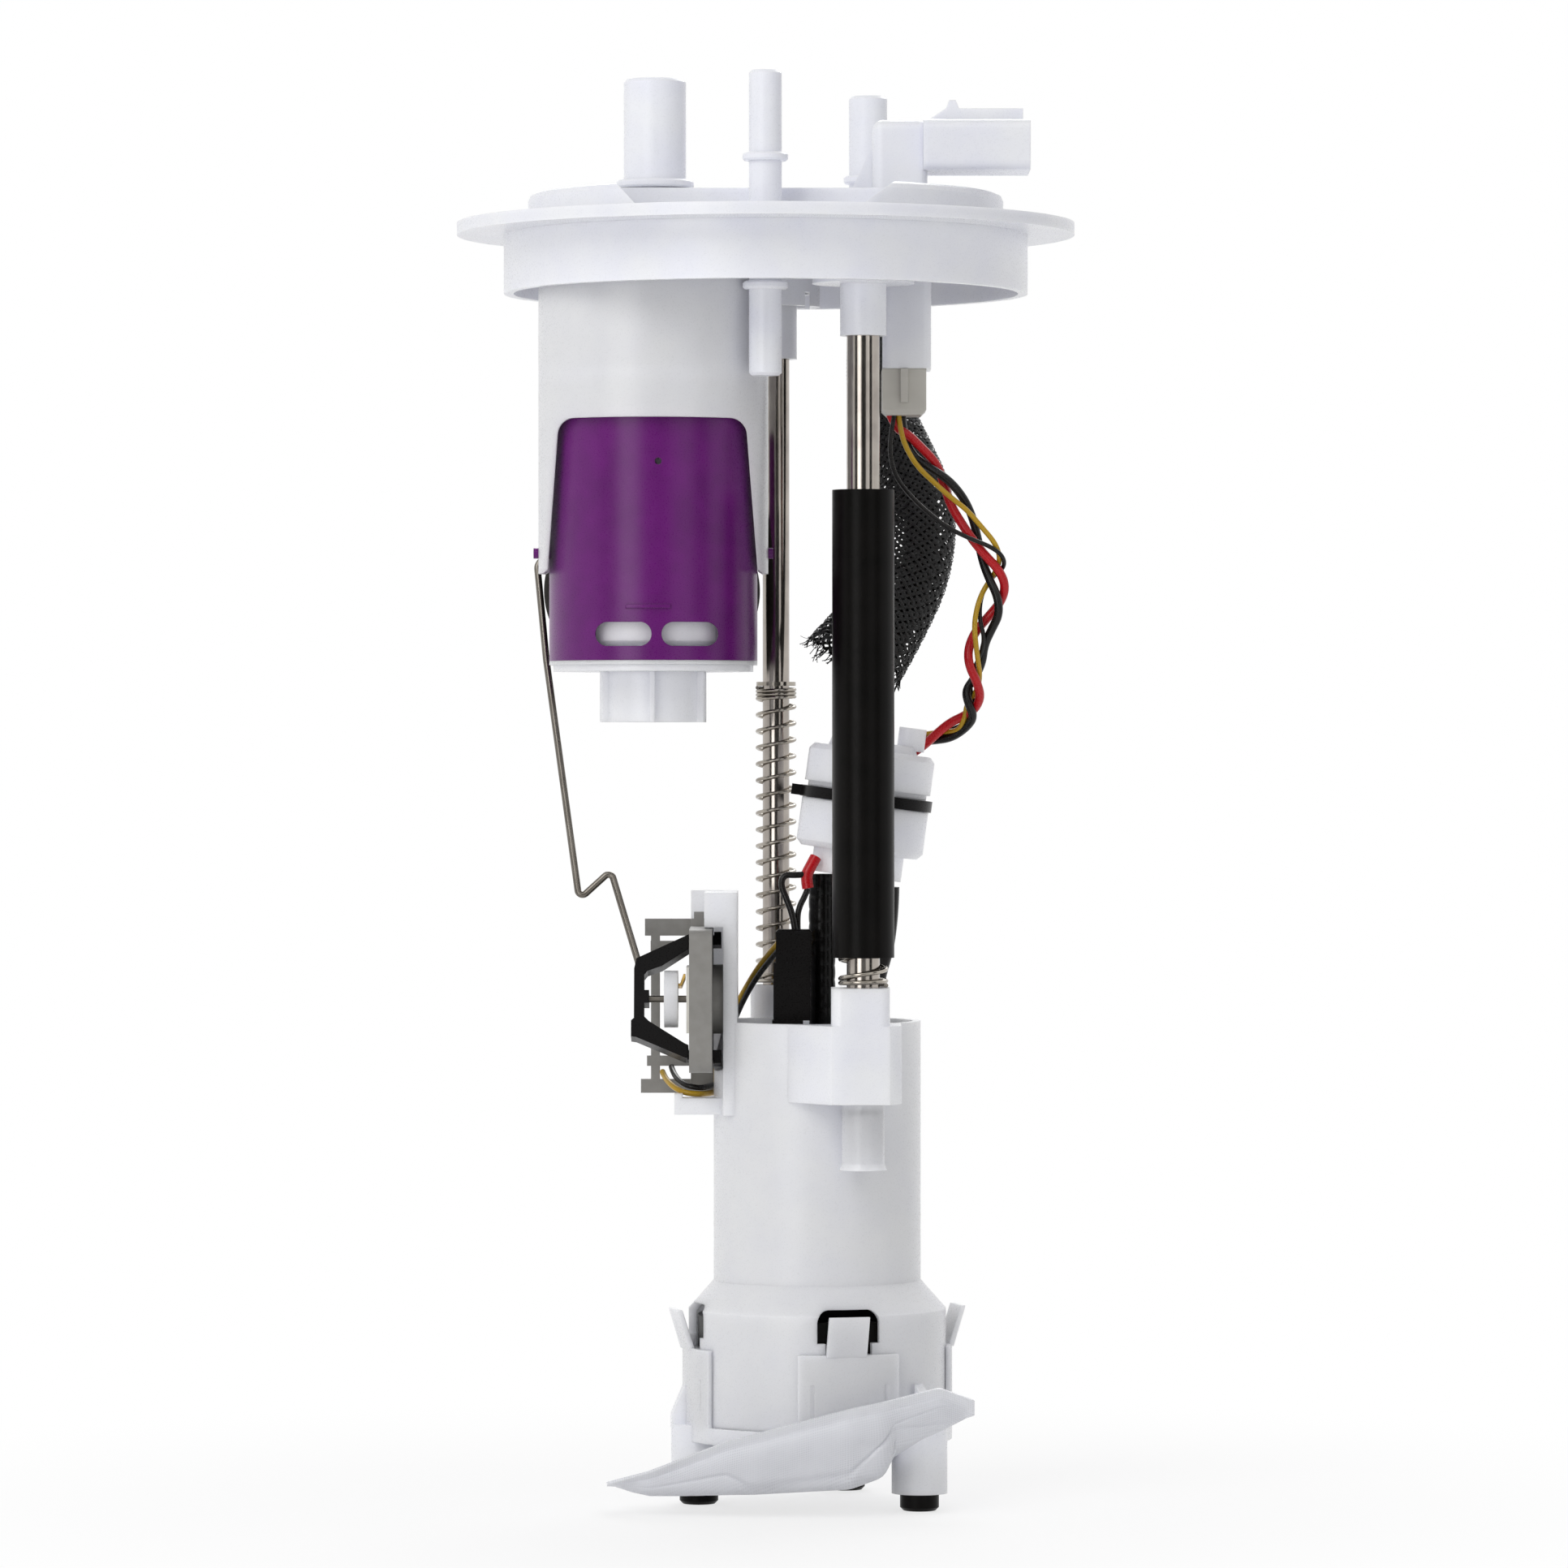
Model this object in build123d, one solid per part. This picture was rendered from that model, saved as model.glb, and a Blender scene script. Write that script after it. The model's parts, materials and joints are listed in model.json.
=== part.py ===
from build123d import *
import math
import os

# Fuel pump module. Millimetres, +Z up, +X towards the connector's mouth, -Y towards the front.
# The origin is the centre of the cover plate's sealing face, which rests on the tank.

# Tank cover
PLATE_RADIUS = 76.0
PLATE_THICK = 3.0
SKIRT_RADIUS = 64.5
SKIRT_WALL = 2.4
SKIRT_DEPTH = 14.4
DECK_RADIUS = 58.5
DECK_TOP = 9.8
DECK_WALL = 2.5
DECK_ROUND = 1.6
POCKET_LEFT = -30.0
POCKET_RIGHT = 22.0
POCKET_BACK = -27.5
POCKET_SLOPE_LEFT = 6.0
POCKET_SLOPE_RIGHT = 9.0

# Ports: axis, radius, wall, bead and top
VENT_AXIS = (-27.4, -16.0)
VENT_RADIUS = 7.6
VENT_PORT_SHIFT = 0.4
VENT_BEAD_RADIUS = 9.5
VENT_TOP = 37.0
FEED_AXIS = (0.0, -36.0)
FEED_RADIUS = 3.97
FEED_BEAD_RADIUS = 5.5
FEED_TOP = 37.5
FEED_BOTTOM = -37.2
SUPPLY_AXIS = (25.5, 25.0)
SUPPLY_RADIUS = 4.76
SUPPLY_BEAD_RADIUS = 6.1
SUPPLY_TOP = 36.5
PORT_WALL = 1.4
PORT_BEVEL = 0.7
BEAD_THICK = 2.0

# Electrical connector on the cover
ELBOW_LEFT = 26.2
ELBOW_RIGHT = 38.6
CONNECTOR_Y = -5.0
CONNECTOR_WIDTH = 24.0
SHROUD_LOW = 15.2
SHROUD_HIGH = 27.5
SHROUD_END = 64.7
SHROUD_WALL = 1.8
SOCKET_BACK = 44.0
RAIL_TOP = 30.7
INNER_HOUSING_X = 34.6
INNER_HOUSING_HALF = 5.9
INNER_HOUSING_BOTTOM = -33.3
PLUG_BOTTOM = -44.6
TERMINAL_COUNT = 4
TERMINAL_PITCH = 4.0
TERMINAL_THICK = 0.8
TERMINAL_WIDTH = 1.6

# Vent valve
CAGE_RADIUS = 28.05
CAGE_WALL = 1.6
CAGE_WINDOW_TOP = -46.4
CAGE_LEG_END = -83.6
VALVE_RADIUS = 25.4
VALVE_WALL = 1.6
VALVE_TOP = -36.4
VALVE_BOTTOM = -104.9
VALVE_NECK_RADIUS = 5.6
VALVE_NECK_TOP = -2.0
SPIGOT_RADIUS = 9.0
SPIGOT_BORE = 7.4
SPIGOT_BOTTOM = -12.0
SLOT_LOW = -101.5
SLOT_HIGH = -95.7
SLOT_LENGTH = 13.6
SLOT_PITCH = 16.0
SLOT_SHIFT = 1.2
LATCH_MARK = (-92.4, -91.5)
BASE_DISC_RADIUS = 24.4
NUB_HEIGHT = -78.6
NUB_RADIUS = 1.3
VALVE_BASE_THICK = 2.6
VALVE_SKIRT_RADIUS = 12.7
VALVE_SKIRT_BOTTOM = -119.8
VALVE_RIB_RADIUS = 14.5
VALVE_RIB_COUNT = 6
VALVE_FLOAT_RADIUS = 22.6

# Guide rods, their springs and the sleeve
FRONT_ROD = (23.7, -30.0)
FRONT_ROD_RADIUS = 4.0
FRONT_BOSS_RADIUS = 5.6
FRONT_BOSS_BOTTOM = -26.3
REAR_ROD = (2.5, 30.0)
REAR_ROD_RADIUS = 3.35
REAR_BOSS_RADIUS = 5.2
REAR_BOSS_BOTTOM = -28.8
ROD_SEAT = -4.0
ROD_FIT = 0.05
ROD_END = -215.0
CLIP_THICK = 1.2
SPRING_TOP = -110.6
RETAINER_THICK = 1.0
FRONT_SPRING_RADIUS = 5.55
FRONT_SPRING_WIRE = 0.55
FRONT_SPRING_TURNS = 12
REAR_SPRING_RADIUS = 4.7
REAR_SPRING_WIRE = 0.42
REAR_SPRING_TURNS = 17
SLEEVE_RADIUS = 7.55
SLEEVE_WALL = 1.0
SLEEVE_TOP = -63.6
SLEEVE_BOTTOM = -176.9

# Reservoir
POT_AXIS = (12.7, 0.0)
POT_RADIUS = 25.5
POT_WALL = 2.0
POT_RIM = -193.3
POT_CONE_TOP = -257.0
POT_CONE_END = -264.0
POT_LOW_RADIUS = 31.7
POT_BOTTOM = -292.0
GUIDE_TOP = -184.2
GUIDE_PAD_BOTTOM = -212.3
BOSS_DEPTH = 8.4
SNOUT_RADIUS = 5.15
SNOUT_BOTTOM = -228.4
REAR_GUIDE_RADIUS = 6.4
REAR_GUIDE_TOP = -185.4

# Base cap, feet and strainer
CAP_THICK = 4.0
CAP_GAP = 0.15
TONGUE_WALL = 1.4
TONGUE_ANGLES = (-76, 14, 104, 194)
TONGUE_PANEL_TOP = -273.2
TONGUE_PANEL_WIDTH = 26.0
TONGUE_TIP_TOP = -263.8
TONGUE_TIP_WIDTH = 10.0
TONGUE_FLARE = 3.0
TONGUE_SHIFT = -1.0
WINDOW_WIDTH = 15.6
WINDOW_TOP = -262.4
WINDOW_STEP = -270.5
WINDOW_NECK = 11.6
WINDOW_ROUND = 3.2
FEET = ((37.5, -22.0), (-16.4, -6.0), (20.0, 28.0))
SOCKET_RADIUS = 6.8
SOCKET_BOTTOM = -307.5
FOOT_RADIUS = 4.75
FOOT_BOTTOM = -311.7
STRAINER_TOP = -298.3
STRAINER_NECK = (6.0, -5.0)
STRAINER_NECK_RADIUS = 5.6

# Pump in the reservoir
CAN_RADIUS = 19.0
CAN_WALL = 1.0
CAN_BOTTOM = -284.0
CAN_TOP = -206.0
PUMP_CAP_TOP = -199.0
OUTLET_AXIS = (13.9, 4.0)
OUTLET_RADIUS = 1.9
OUTLET_BORE = 1.0
OUTLET_BARB = 11.0
SHAFT_RADIUS = 1.6
RUNNING_FIT = 0.05
PRESS_FIT = 0.02
ARMATURE_RADIUS = 12.4
MAGNET_INNER = 13.2

# Level sender, turned about an axis along X
PIVOT_Y = -6.0
PIVOT_Z = -187.8
LEAN = 14.5
HOUSING_LEFT = -18.6
HOUSING_RIGHT = -13.0
HOUSING_HALF = 17.5
TRACK_INNER = 12.7
TRACK_OUTER = 16.3
HOOK_REACH = 16.9
CARD_MARGIN = 0.9
HUB_RADIUS = 7.0
BRACKET_LEFT = -10.4
BRACKET_RIGHT = -6.9
BRACKET_TOP = -161.5
BRACKET_BOTTOM = -216.0
HEAD_LEFT = -15.0
LEAD_NOTCH = (-211.6, -205.8)
WIRE_RADIUS = 0.85
SWING = 110.0
FLOAT_LEFT = -55.2
FLOAT_RIGHT = -1.5
FLOAT_HEIGHT = 40.0
FLOAT_THICK = 13.6
FLOAT_Y = 21.6
FLOAT_Z = -87.0

# Regulator housing
REG_CENTRE = (24.8, 4.0, -138.5)
REG_TILT = 7.7
REG_RADIUS = 15.6
REG_CAP_RADIUS = 3.4

# Hoses and leads
HOSE_RADIUS = 4.4
HOSE_WALL = 1.1
BRAID_RADIUS = 8.4
BRAID_WALL = 0.8
PUMP_HOSE_RADIUS = 3.3
PUMP_HOSE_PITCH = 3.4
PUMP_HOSE_DEPTH = 0.6
RETURN_RADIUS = 3.0
HARNESS_RADIUS = 2.6
LEAD_RADIUS = 0.75
LEAD_PITCH = 1.9

# Routes of the hoses and leads, as points along each run
SUPPLY_ROUTE = ((25.5, 25.0, -2.0), (25.5, 25.0, -34.0), (32.5, 24.0, -50.0), (39.5, 22.0, -66.0),
                (38.0, 19.0, -84.0), (30.5, 14.0, -99.0), (24.6, 8.0, -110.0), (24.5, 5.2, -121.0))
BRAID_START = 0.18
BRAID_END = 0.86
BRAID_NECK = 0.03
HARNESS_ROUTE = ((33.9, -5.0, -44.6), (33.9, -5.0, -54.6), (39.4, -5.0, -61.5), (49.5, -5.0, -70.5),
                 (57.0, -4.0, -82.0), (55.5, -3.0, -94.5), (51.5, -1.0, -105.5), (51.0, 1.0, -116.0),
                 (47.0, 4.4, -121.6), (41.2, 8.6, -120.2), (35.6, 11.0, -122.9))
RETURN_ROUTE = ((30.0, 3.0, -160.4), (29.8, 3.2, -172.0), (25.6, 4.8, -186.0), (24.6, 5.0, -198.7))
SENDER_LEAD_ROUTE = ((5.5, -2.0, -173.4), (2.0, 6.0, -177.4), (-2.2, 15.0, -182.9), (-6.2, 21.0, -189.9),
                     (-10.6, 23.0, -200.0), (-12.1, 21.0, -209.4), (-12.1, 10.6, -209.8), (-14.2, 4.0, -210.0),
                     (-16.4, -1.8, -210.2), (-20.8, -0.4, -209.6), (-23.6, 4.4, -208.6), (-24.6, 10.6, -208.0))
POWER_LEAD_ROUTE = ((5.2, -7.0, -170.6), (5.2, -7.0, -165.8), (4.2, -6.0, -160.0), (7.0, -4.4, -156.6),
                    (11.6, -2.6, -154.4))
EARTH_LEAD_ROUTE = ((9.2, -7.0, -170.6), (9.2, -7.0, -166.2), (10.6, -6.0, -160.5), (12.6, -4.4, -156.0))


def post(at, low, high, radius):
    """Upright cylinder."""
    upright = (Align.CENTER, Align.CENTER, Align.MIN)
    return Pos(at[0], at[1], low) * Cylinder(radius, high - low, align=upright)


def tube(at, low, high, outer, inner):
    """Upright tube."""
    return post(at, low, high, outer) - post(at, low - 1, high + 1, inner)


def bar(left, right, y, z, radius):
    """Cylinder along X."""
    return Pos((left + right) / 2, y, z) * Rot(0, 90, 0) * Cylinder(radius, right - left)


def block(xs, ys, zs):
    """Box between three pairs of limits."""
    middle = [(low + high) / 2 for low, high in (xs, ys, zs)]
    size = [high - low for low, high in (xs, ys, zs)]
    return Pos(*middle) * Box(*size)


def print_run(name, solid, points, radius, bore):
    """Prints a run's arc radii, and its volume beside its section times its length."""
    path = round_path(points)
    radii = [round(edge.radius, 1) for edge in path.edges().filter_by(GeomType.CIRCLE)]
    expected = math.pi * (radius ** 2 - bore ** 2) * path.length
    print(name, "arc radii", radii, "volume", round(solid.volume, 1), "section times length", round(expected, 1))


def turned(at, points):
    """Solid turned about an upright axis from (radius, height) points."""
    outline = Polyline(*[(radius, 0, height) for radius, height in points], close=True)
    return Pos(at[0], at[1], 0) * revolve(make_face(outline), Axis.Z)


def prism_y(points, front, back):
    """Outline in X and Z carried from front to back."""
    outline = Polyline(*[(x, front, z) for x, z in points], close=True)
    return extrude(make_face(outline), amount=back - front, dir=(0, 1, 0))


def prism_z(points, low, high):
    """Outline in X and Y carried upwards."""
    outline = Polyline(*[(x, y, low) for x, y in points], close=True)
    return extrude(make_face(outline), amount=high - low, dir=(0, 0, 1))


def round_path(points, share=0.45):
    """Route of straight runs joined by arcs as large as the runs allow."""
    corners = [Vector(*p) for p in points]
    radii = []
    for before, here, after in zip(corners, corners[1:], corners[2:]):
        run_in, run_out = here - before, after - here
        half_turn = math.radians(run_in.get_angle(run_out)) / 2
        radii.append(share * min(run_in.length, run_out.length) / math.tan(half_turn))
    return FilletPolyline(*points, radius=radii)


def swept_tube(points, radius, bore=0.0):
    """Round tube along a route, hollow where a bore is given."""
    path = round_path(points)
    start = Plane(origin=path @ 0, z_dir=path % 0)
    solid = sweep(start * Circle(radius), path=path)
    if bore:
        solid -= sweep(start * Circle(bore), path=path)
    return solid


def coil(at, low, high, radius, wire, turns):
    """Round-wire spring between two heights, of six-sided wire section."""
    pitch = (high - low - 2 * wire) / turns
    path = Helix(pitch, pitch * turns, radius)
    start = Plane(origin=path @ 0, z_dir=path % 0)
    section = start * RegularPolygon(wire, 6)
    return Pos(at[0], at[1], low + wire) * sweep(section, path=path, is_frenet=True)


def port(at, foot, bead_foot, top, radius, bead_radius):
    """Port with a bevelled lip and a round bead, before it is bored."""
    bead_top = bead_foot + BEAD_THICK
    edge = BEAD_THICK / 4
    return turned(at, [(0, foot), (radius, foot), (radius, bead_foot), (bead_radius - edge, bead_foot),
                       (bead_radius, bead_foot + edge), (bead_radius, bead_top - edge),
                       (bead_radius - edge, bead_top), (radius, bead_top), (radius, top - PORT_BEVEL),
                       (radius - PORT_BEVEL, top), (0, top)])


def front_pocket(wall):
    """Sloping pocket in the deck's front, where the feed port stands, grown by a wall."""
    rise = DECK_TOP - PLATE_THICK
    high = 2.0
    over = high / rise
    floor = 0 if wall else PLATE_THICK
    left, right = POCKET_LEFT - wall, POCKET_RIGHT + wall
    top = DECK_TOP + high
    outline = [(left, floor), (right, floor), (right + POCKET_SLOPE_RIGHT * (1 + over), top),
               (left - POCKET_SLOPE_LEFT * (1 + over), top)]
    return prism_y(outline, -PLATE_RADIUS, POCKET_BACK + wall)


def make_terminals():
    """Four bent blades between the socket and the inner housing."""
    blades = []
    reach = (SHROUD_LOW + SHROUD_HIGH) / 2
    for i in range(TERMINAL_COUNT):
        y = CONNECTOR_Y + (i - (TERMINAL_COUNT - 1) / 2) * TERMINAL_PITCH
        ys = (y - TERMINAL_WIDTH / 2, y + TERMINAL_WIDTH / 2)
        x = INNER_HOUSING_X - TERMINAL_THICK / 2
        across = block((x, SOCKET_BACK + 11), ys, (reach, reach + TERMINAL_THICK))
        down = block((x, x + TERMINAL_THICK), ys, (INNER_HOUSING_BOTTOM + 10, reach + TERMINAL_THICK))
        blades.append(across + down)
    return Compound(children=blades)


def make_cover(terminals):
    """The cover's moulding by parts: deck with bosses and ports, flange with skirt, vent port, connector."""
    edge = DECK_ROUND
    deck = turned((0, 0), [(0, 0), (PLATE_RADIUS, 0), (PLATE_RADIUS, PLATE_THICK), (DECK_RADIUS, PLATE_THICK),
                           (DECK_RADIUS, DECK_TOP - edge), (DECK_RADIUS - edge * 0.3, DECK_TOP - edge * 0.3),
                           (DECK_RADIUS - edge, DECK_TOP), (0, DECK_TOP)])
    hollow = post((0, 0), -1, DECK_TOP - DECK_WALL, DECK_RADIUS - DECK_WALL) - front_pocket(DECK_WALL)
    skirt = tube((0, 0), -SKIRT_DEPTH, 1, SKIRT_RADIUS, SKIRT_RADIUS - SKIRT_WALL)
    cage_root = tube(VENT_AXIS, 0, DECK_TOP - 1, CAGE_RADIUS, CAGE_RADIUS - CAGE_WALL)
    cage_root &= post((0, 0), 0, DECK_TOP - 1, DECK_RADIUS - 1)
    front_pad = post(FRONT_ROD, -SKIRT_DEPTH + 0.7, DECK_TOP - 1, 12.4)
    rear_pad = post(REAR_ROD, -SKIRT_DEPTH - 1.4, DECK_TOP - 1, 11.0)
    rear_pad -= block((REAR_ROD[0] + 7.2, REAR_ROD[0] + 8.4), (10, 50), (-20, -SKIRT_DEPTH + 2))
    rear_pad -= post(REAR_ROD, -SKIRT_DEPTH - 2, -2, 8.2)
    front_boss = post(FRONT_ROD, FRONT_BOSS_BOTTOM, DECK_TOP - 1, FRONT_BOSS_RADIUS)
    rear_boss = post(REAR_ROD, REAR_BOSS_BOTTOM, DECK_TOP - 1, REAR_BOSS_RADIUS)
    spigot = post(VENT_AXIS, SPIGOT_BOTTOM, DECK_TOP - 1, SPIGOT_RADIUS)
    supply_nipple = post(SUPPLY_AXIS, -23, DECK_TOP - 1, HOSE_RADIUS - HOSE_WALL - RUNNING_FIT)
    cover = deck - hollow + skirt + cage_root + front_pad + rear_pad + front_boss + rear_boss + supply_nipple
    cover -= front_pocket(0)
    vent = (VENT_AXIS[0] + VENT_PORT_SHIFT, VENT_AXIS[1])
    vent_port = spigot + port(vent, PLATE_THICK, DECK_TOP + 0.6, VENT_TOP, VENT_RADIUS, VENT_BEAD_RADIUS)
    connector = make_connector()
    cover += port(FEED_AXIS, 0, 15.6, FEED_TOP, FEED_RADIUS, FEED_BEAD_RADIUS)
    cover += port(SUPPLY_AXIS, DECK_TOP - 1, 14.6, SUPPLY_TOP, SUPPLY_RADIUS, SUPPLY_BEAD_RADIUS)
    nipple = port((0, 0), 0, SKIRT_DEPTH, -FEED_BOTTOM, FEED_RADIUS, FEED_BEAD_RADIUS)
    cover += Pos(FEED_AXIS[0], FEED_AXIS[1], 1) * Rot(180, 0, 0) * nipple
    cover = cover - vent_port - connector - connector_hollow()
    vent_port -= post(vent, DECK_TOP - 1, VENT_TOP + 1, VENT_RADIUS - PORT_WALL)
    vent_port -= post(VENT_AXIS, SPIGOT_BOTTOM - 1, DECK_TOP - 1, SPIGOT_BORE)
    cover -= post(FEED_AXIS, FEED_BOTTOM - 1, FEED_TOP + 1, FEED_RADIUS - PORT_WALL)
    cover -= post(SUPPLY_AXIS, DECK_TOP - 1, SUPPLY_TOP + 1, SUPPLY_RADIUS - PORT_WALL)
    cover -= post(SUPPLY_AXIS, -24, DECK_TOP, 2.2)
    cover -= post(FRONT_ROD, FRONT_BOSS_BOTTOM - 1, ROD_SEAT, FRONT_ROD_RADIUS + ROD_FIT)
    cover -= post(REAR_ROD, REAR_BOSS_BOTTOM - 1, ROD_SEAT, REAR_ROD_RADIUS + ROD_FIT)
    core = post((0, 0), FEED_BOTTOM - 1, FEED_TOP + 1, DECK_RADIUS - DECK_WALL)
    return {"tank_cover": cover & core, "cover_flange": cover - core, "vent_port": vent_port,
            "connector_housing": connector - terminals}


def connector_hollow():
    """Space inside the housing under the cover, which the deck leaves clear."""
    left, right = INNER_HOUSING_X - INNER_HOUSING_HALF, INNER_HOUSING_X + INNER_HOUSING_HALF
    return block((left + SHROUD_WALL, right - SHROUD_WALL), (CONNECTOR_Y - 9 + SHROUD_WALL, CONNECTOR_Y + 9 - SHROUD_WALL),
                 (INNER_HOUSING_BOTTOM - 1, INNER_HOUSING_BOTTOM + 12))


def make_connector():
    """Elbow, shroud with its socket, key rail, gusset and the housing under the cover."""
    half = CONNECTOR_WIDTH / 2
    elbow = block((ELBOW_LEFT, ELBOW_RIGHT + 1), (CONNECTOR_Y - 9, CONNECTOR_Y + 9), (DECK_TOP - 1, SHROUD_HIGH))
    elbow = fillet(elbow.edges().filter_by(Axis.Z), 2.5)
    elbow = fillet(elbow.edges().group_by(Axis.Z)[-1].sort_by(Axis.X)[0], 2.4)
    shroud = block((ELBOW_RIGHT, SHROUD_END), (CONNECTOR_Y - half, CONNECTOR_Y + half), (SHROUD_LOW, SHROUD_HIGH))
    shroud = fillet(shroud.edges().filter_by(Axis.X), 2.2)
    wall = SHROUD_WALL
    socket = block((SOCKET_BACK, SHROUD_END + 1), (CONNECTOR_Y - half + wall, CONNECTOR_Y + half - wall),
                   (SHROUD_LOW + wall, SHROUD_HIGH - wall))
    shroud -= fillet(socket.edges().filter_by(Axis.X), 1.0)
    rail = prism_y([(ELBOW_RIGHT, SHROUD_HIGH - 0.5), (SHROUD_END - 1.6, SHROUD_HIGH - 0.5),
                    (SHROUD_END - 1.6, RAIL_TOP), (47.4, RAIL_TOP), (46.6, RAIL_TOP + 2.0), (45.0, RAIL_TOP + 2.0),
                    (44.2, RAIL_TOP)], CONNECTOR_Y - 3.5, CONNECTOR_Y + 3.5)
    gusset = prism_y([(20.2, DECK_TOP - 1), (ELBOW_LEFT + 1, DECK_TOP - 1), (ELBOW_LEFT + 1, 22.0),
                      (ELBOW_LEFT, 22.0)], CONNECTOR_Y - 1.6, CONNECTOR_Y + 1.6)
    left, right = INNER_HOUSING_X - INNER_HOUSING_HALF, INNER_HOUSING_X + INNER_HOUSING_HALF
    inner = block((left, right), (CONNECTOR_Y - 9, CONNECTOR_Y + 9), (INNER_HOUSING_BOTTOM, DECK_TOP - 1))
    inner = fillet(inner.edges().filter_by(Axis.Z), 2.0)
    return elbow + shroud + rail + gusset + inner - connector_hollow()


def make_plug():
    """Harness plug, pushed into the inner housing from below."""
    x, half = INNER_HOUSING_X - 0.7, INNER_HOUSING_HALF - 0.5
    body = block((x - half, x + half), (CONNECTOR_Y - 8.4, CONNECTOR_Y + 8.4), (PLUG_BOTTOM, INNER_HOUSING_BOTTOM))
    body = chamfer(body.edges().group_by(Axis.Z)[0], 1.2)
    body += block((x - 0.9, x + 0.9), (CONNECTOR_Y - 9.4, CONNECTOR_Y - 8), (PLUG_BOTTOM + 3, INNER_HOUSING_BOTTOM))
    nose_half = INNER_HOUSING_HALF - SHROUD_WALL - 0.3
    nose = block((INNER_HOUSING_X - nose_half, INNER_HOUSING_X + nose_half), (CONNECTOR_Y - 6.8, CONNECTOR_Y + 6.8),
                 (INNER_HOUSING_BOTTOM, INNER_HOUSING_BOTTOM + 9))
    return body + nose


def make_cage():
    """Round cage under the cover whose two legs hold the vent valve."""
    shell = tube(VENT_AXIS, CAGE_LEG_END, 0, CAGE_RADIUS, CAGE_RADIUS - CAGE_WALL)
    shell += tube(VENT_AXIS, VALVE_TOP, VALVE_TOP + 2, CAGE_RADIUS - 0.5, CAGE_RADIUS - 5)
    x, drop = VENT_AXIS[0], CAGE_WINDOW_TOP - CAGE_LEG_END
    half_top, half_low = 22.6, 25.6
    window = prism_y([(x - half_top, CAGE_WINDOW_TOP), (x + half_top, CAGE_WINDOW_TOP),
                      (x + half_low, CAGE_LEG_END - 1), (x - half_low, CAGE_LEG_END - 1)], -60, 60)
    window = fillet(window.edges().filter_by(Axis.Y).group_by(Axis.Z)[-1], 4.0)
    shell -= window
    for side in (-1, 1):
        shell -= bar(x - 40 if side < 0 else x + 20, x - 20 if side < 0 else x + 40,
                     VENT_AXIS[1], NUB_HEIGHT, NUB_RADIUS + 0.15)
        tip = x + side * CAGE_RADIUS
        trim = prism_y([(tip, CAGE_LEG_END - 1), (tip - side * 4, CAGE_LEG_END - 1),
                        (tip - side * 4, CAGE_LEG_END + drop * 0.05)], -60, 60)
        shell -= trim
    inner_skirt = SKIRT_RADIUS - SKIRT_WALL
    return shell - tube((0, 0), -SKIRT_DEPTH, 0.5, inner_skirt + CAGE_RADIUS, inner_skirt)


def make_valve_body():
    """Valve can with flow slots near its foot, snap nubs and the neck to the vent port."""
    r, wall = VALVE_RADIUS, VALVE_WALL
    neck, neck_bore = VALVE_NECK_RADIUS, VALVE_NECK_RADIUS - 1.4
    body = turned(VENT_AXIS, [(neck_bore, VALVE_NECK_TOP), (neck, VALVE_NECK_TOP), (neck, VALVE_TOP - 1),
                              (r - 4, VALVE_TOP - 1), (r, VALVE_TOP - 5), (r, VALVE_BOTTOM),
                              (r - wall, VALVE_BOTTOM), (r - wall, VALVE_TOP - 5.5), (r - 4.6, VALVE_TOP - 3),
                              (neck_bore, VALVE_TOP - 3)])
    middle = (SLOT_LOW + SLOT_HIGH) / 2
    for side in (-1, 1):
        x = VENT_AXIS[0] + SLOT_SHIFT + side * SLOT_PITCH / 2
        height = SLOT_HIGH - SLOT_LOW
        slot = extrude(Pos(x, 0, middle) * Rot(90, 0, 0) * SlotOverall(SLOT_LENGTH, height), amount=80, both=True)
        body -= slot
        tip = VENT_AXIS[0] + side * (CAGE_RADIUS + 1.2)
        root = VENT_AXIS[0] + side * (r - 1)
        body += bar(min(tip, root), max(tip, root), VENT_AXIS[1], NUB_HEIGHT, NUB_RADIUS)
    mark = tube(VENT_AXIS, *LATCH_MARK, r + 0.45, r - 0.5)
    mark &= block((VENT_AXIS[0] - 6.2, VENT_AXIS[0] + 4.6), (-60, VENT_AXIS[1]), LATCH_MARK)
    body += mark
    pin_hole = Pos(VENT_AXIS[0] + 1.6, VENT_AXIS[1] - r, -57) * Rot(90, 0, 0) * Cylinder(0.8, 6)
    return body - pin_hole


def make_valve_base():
    """Disc that closes the valve can, with a ribbed skirt below."""
    low = VALVE_BOTTOM - VALVE_BASE_THICK
    skirt = VALVE_SKIRT_RADIUS
    base = turned(VENT_AXIS, [(0, VALVE_BOTTOM), (VALVE_RADIUS, VALVE_BOTTOM), (VALVE_RADIUS, VALVE_BOTTOM - 1),
                              (BASE_DISC_RADIUS, VALVE_BOTTOM - 1),
                              (BASE_DISC_RADIUS, low), (0, low)])
    base += tube(VENT_AXIS, VALVE_SKIRT_BOTTOM, low, skirt, skirt - 1.6)
    base += tube(VENT_AXIS, VALVE_BOTTOM - 1, VALVE_BOTTOM + 2.4, VALVE_RADIUS - VALVE_WALL, VALVE_RADIUS - 3)
    for i in range(VALVE_RIB_COUNT):
        rib = block((skirt - 1, VALVE_RIB_RADIUS), (-0.6, 0.6), (VALVE_SKIRT_BOTTOM, low))
        turn = 30 + i * 360 / VALVE_RIB_COUNT
        base += Pos(VENT_AXIS[0], VENT_AXIS[1], 0) * Rot(0, 0, turn) * rib
    return base - post(VENT_AXIS, low - 1, VALVE_BOTTOM + 1, 3.0)


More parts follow.
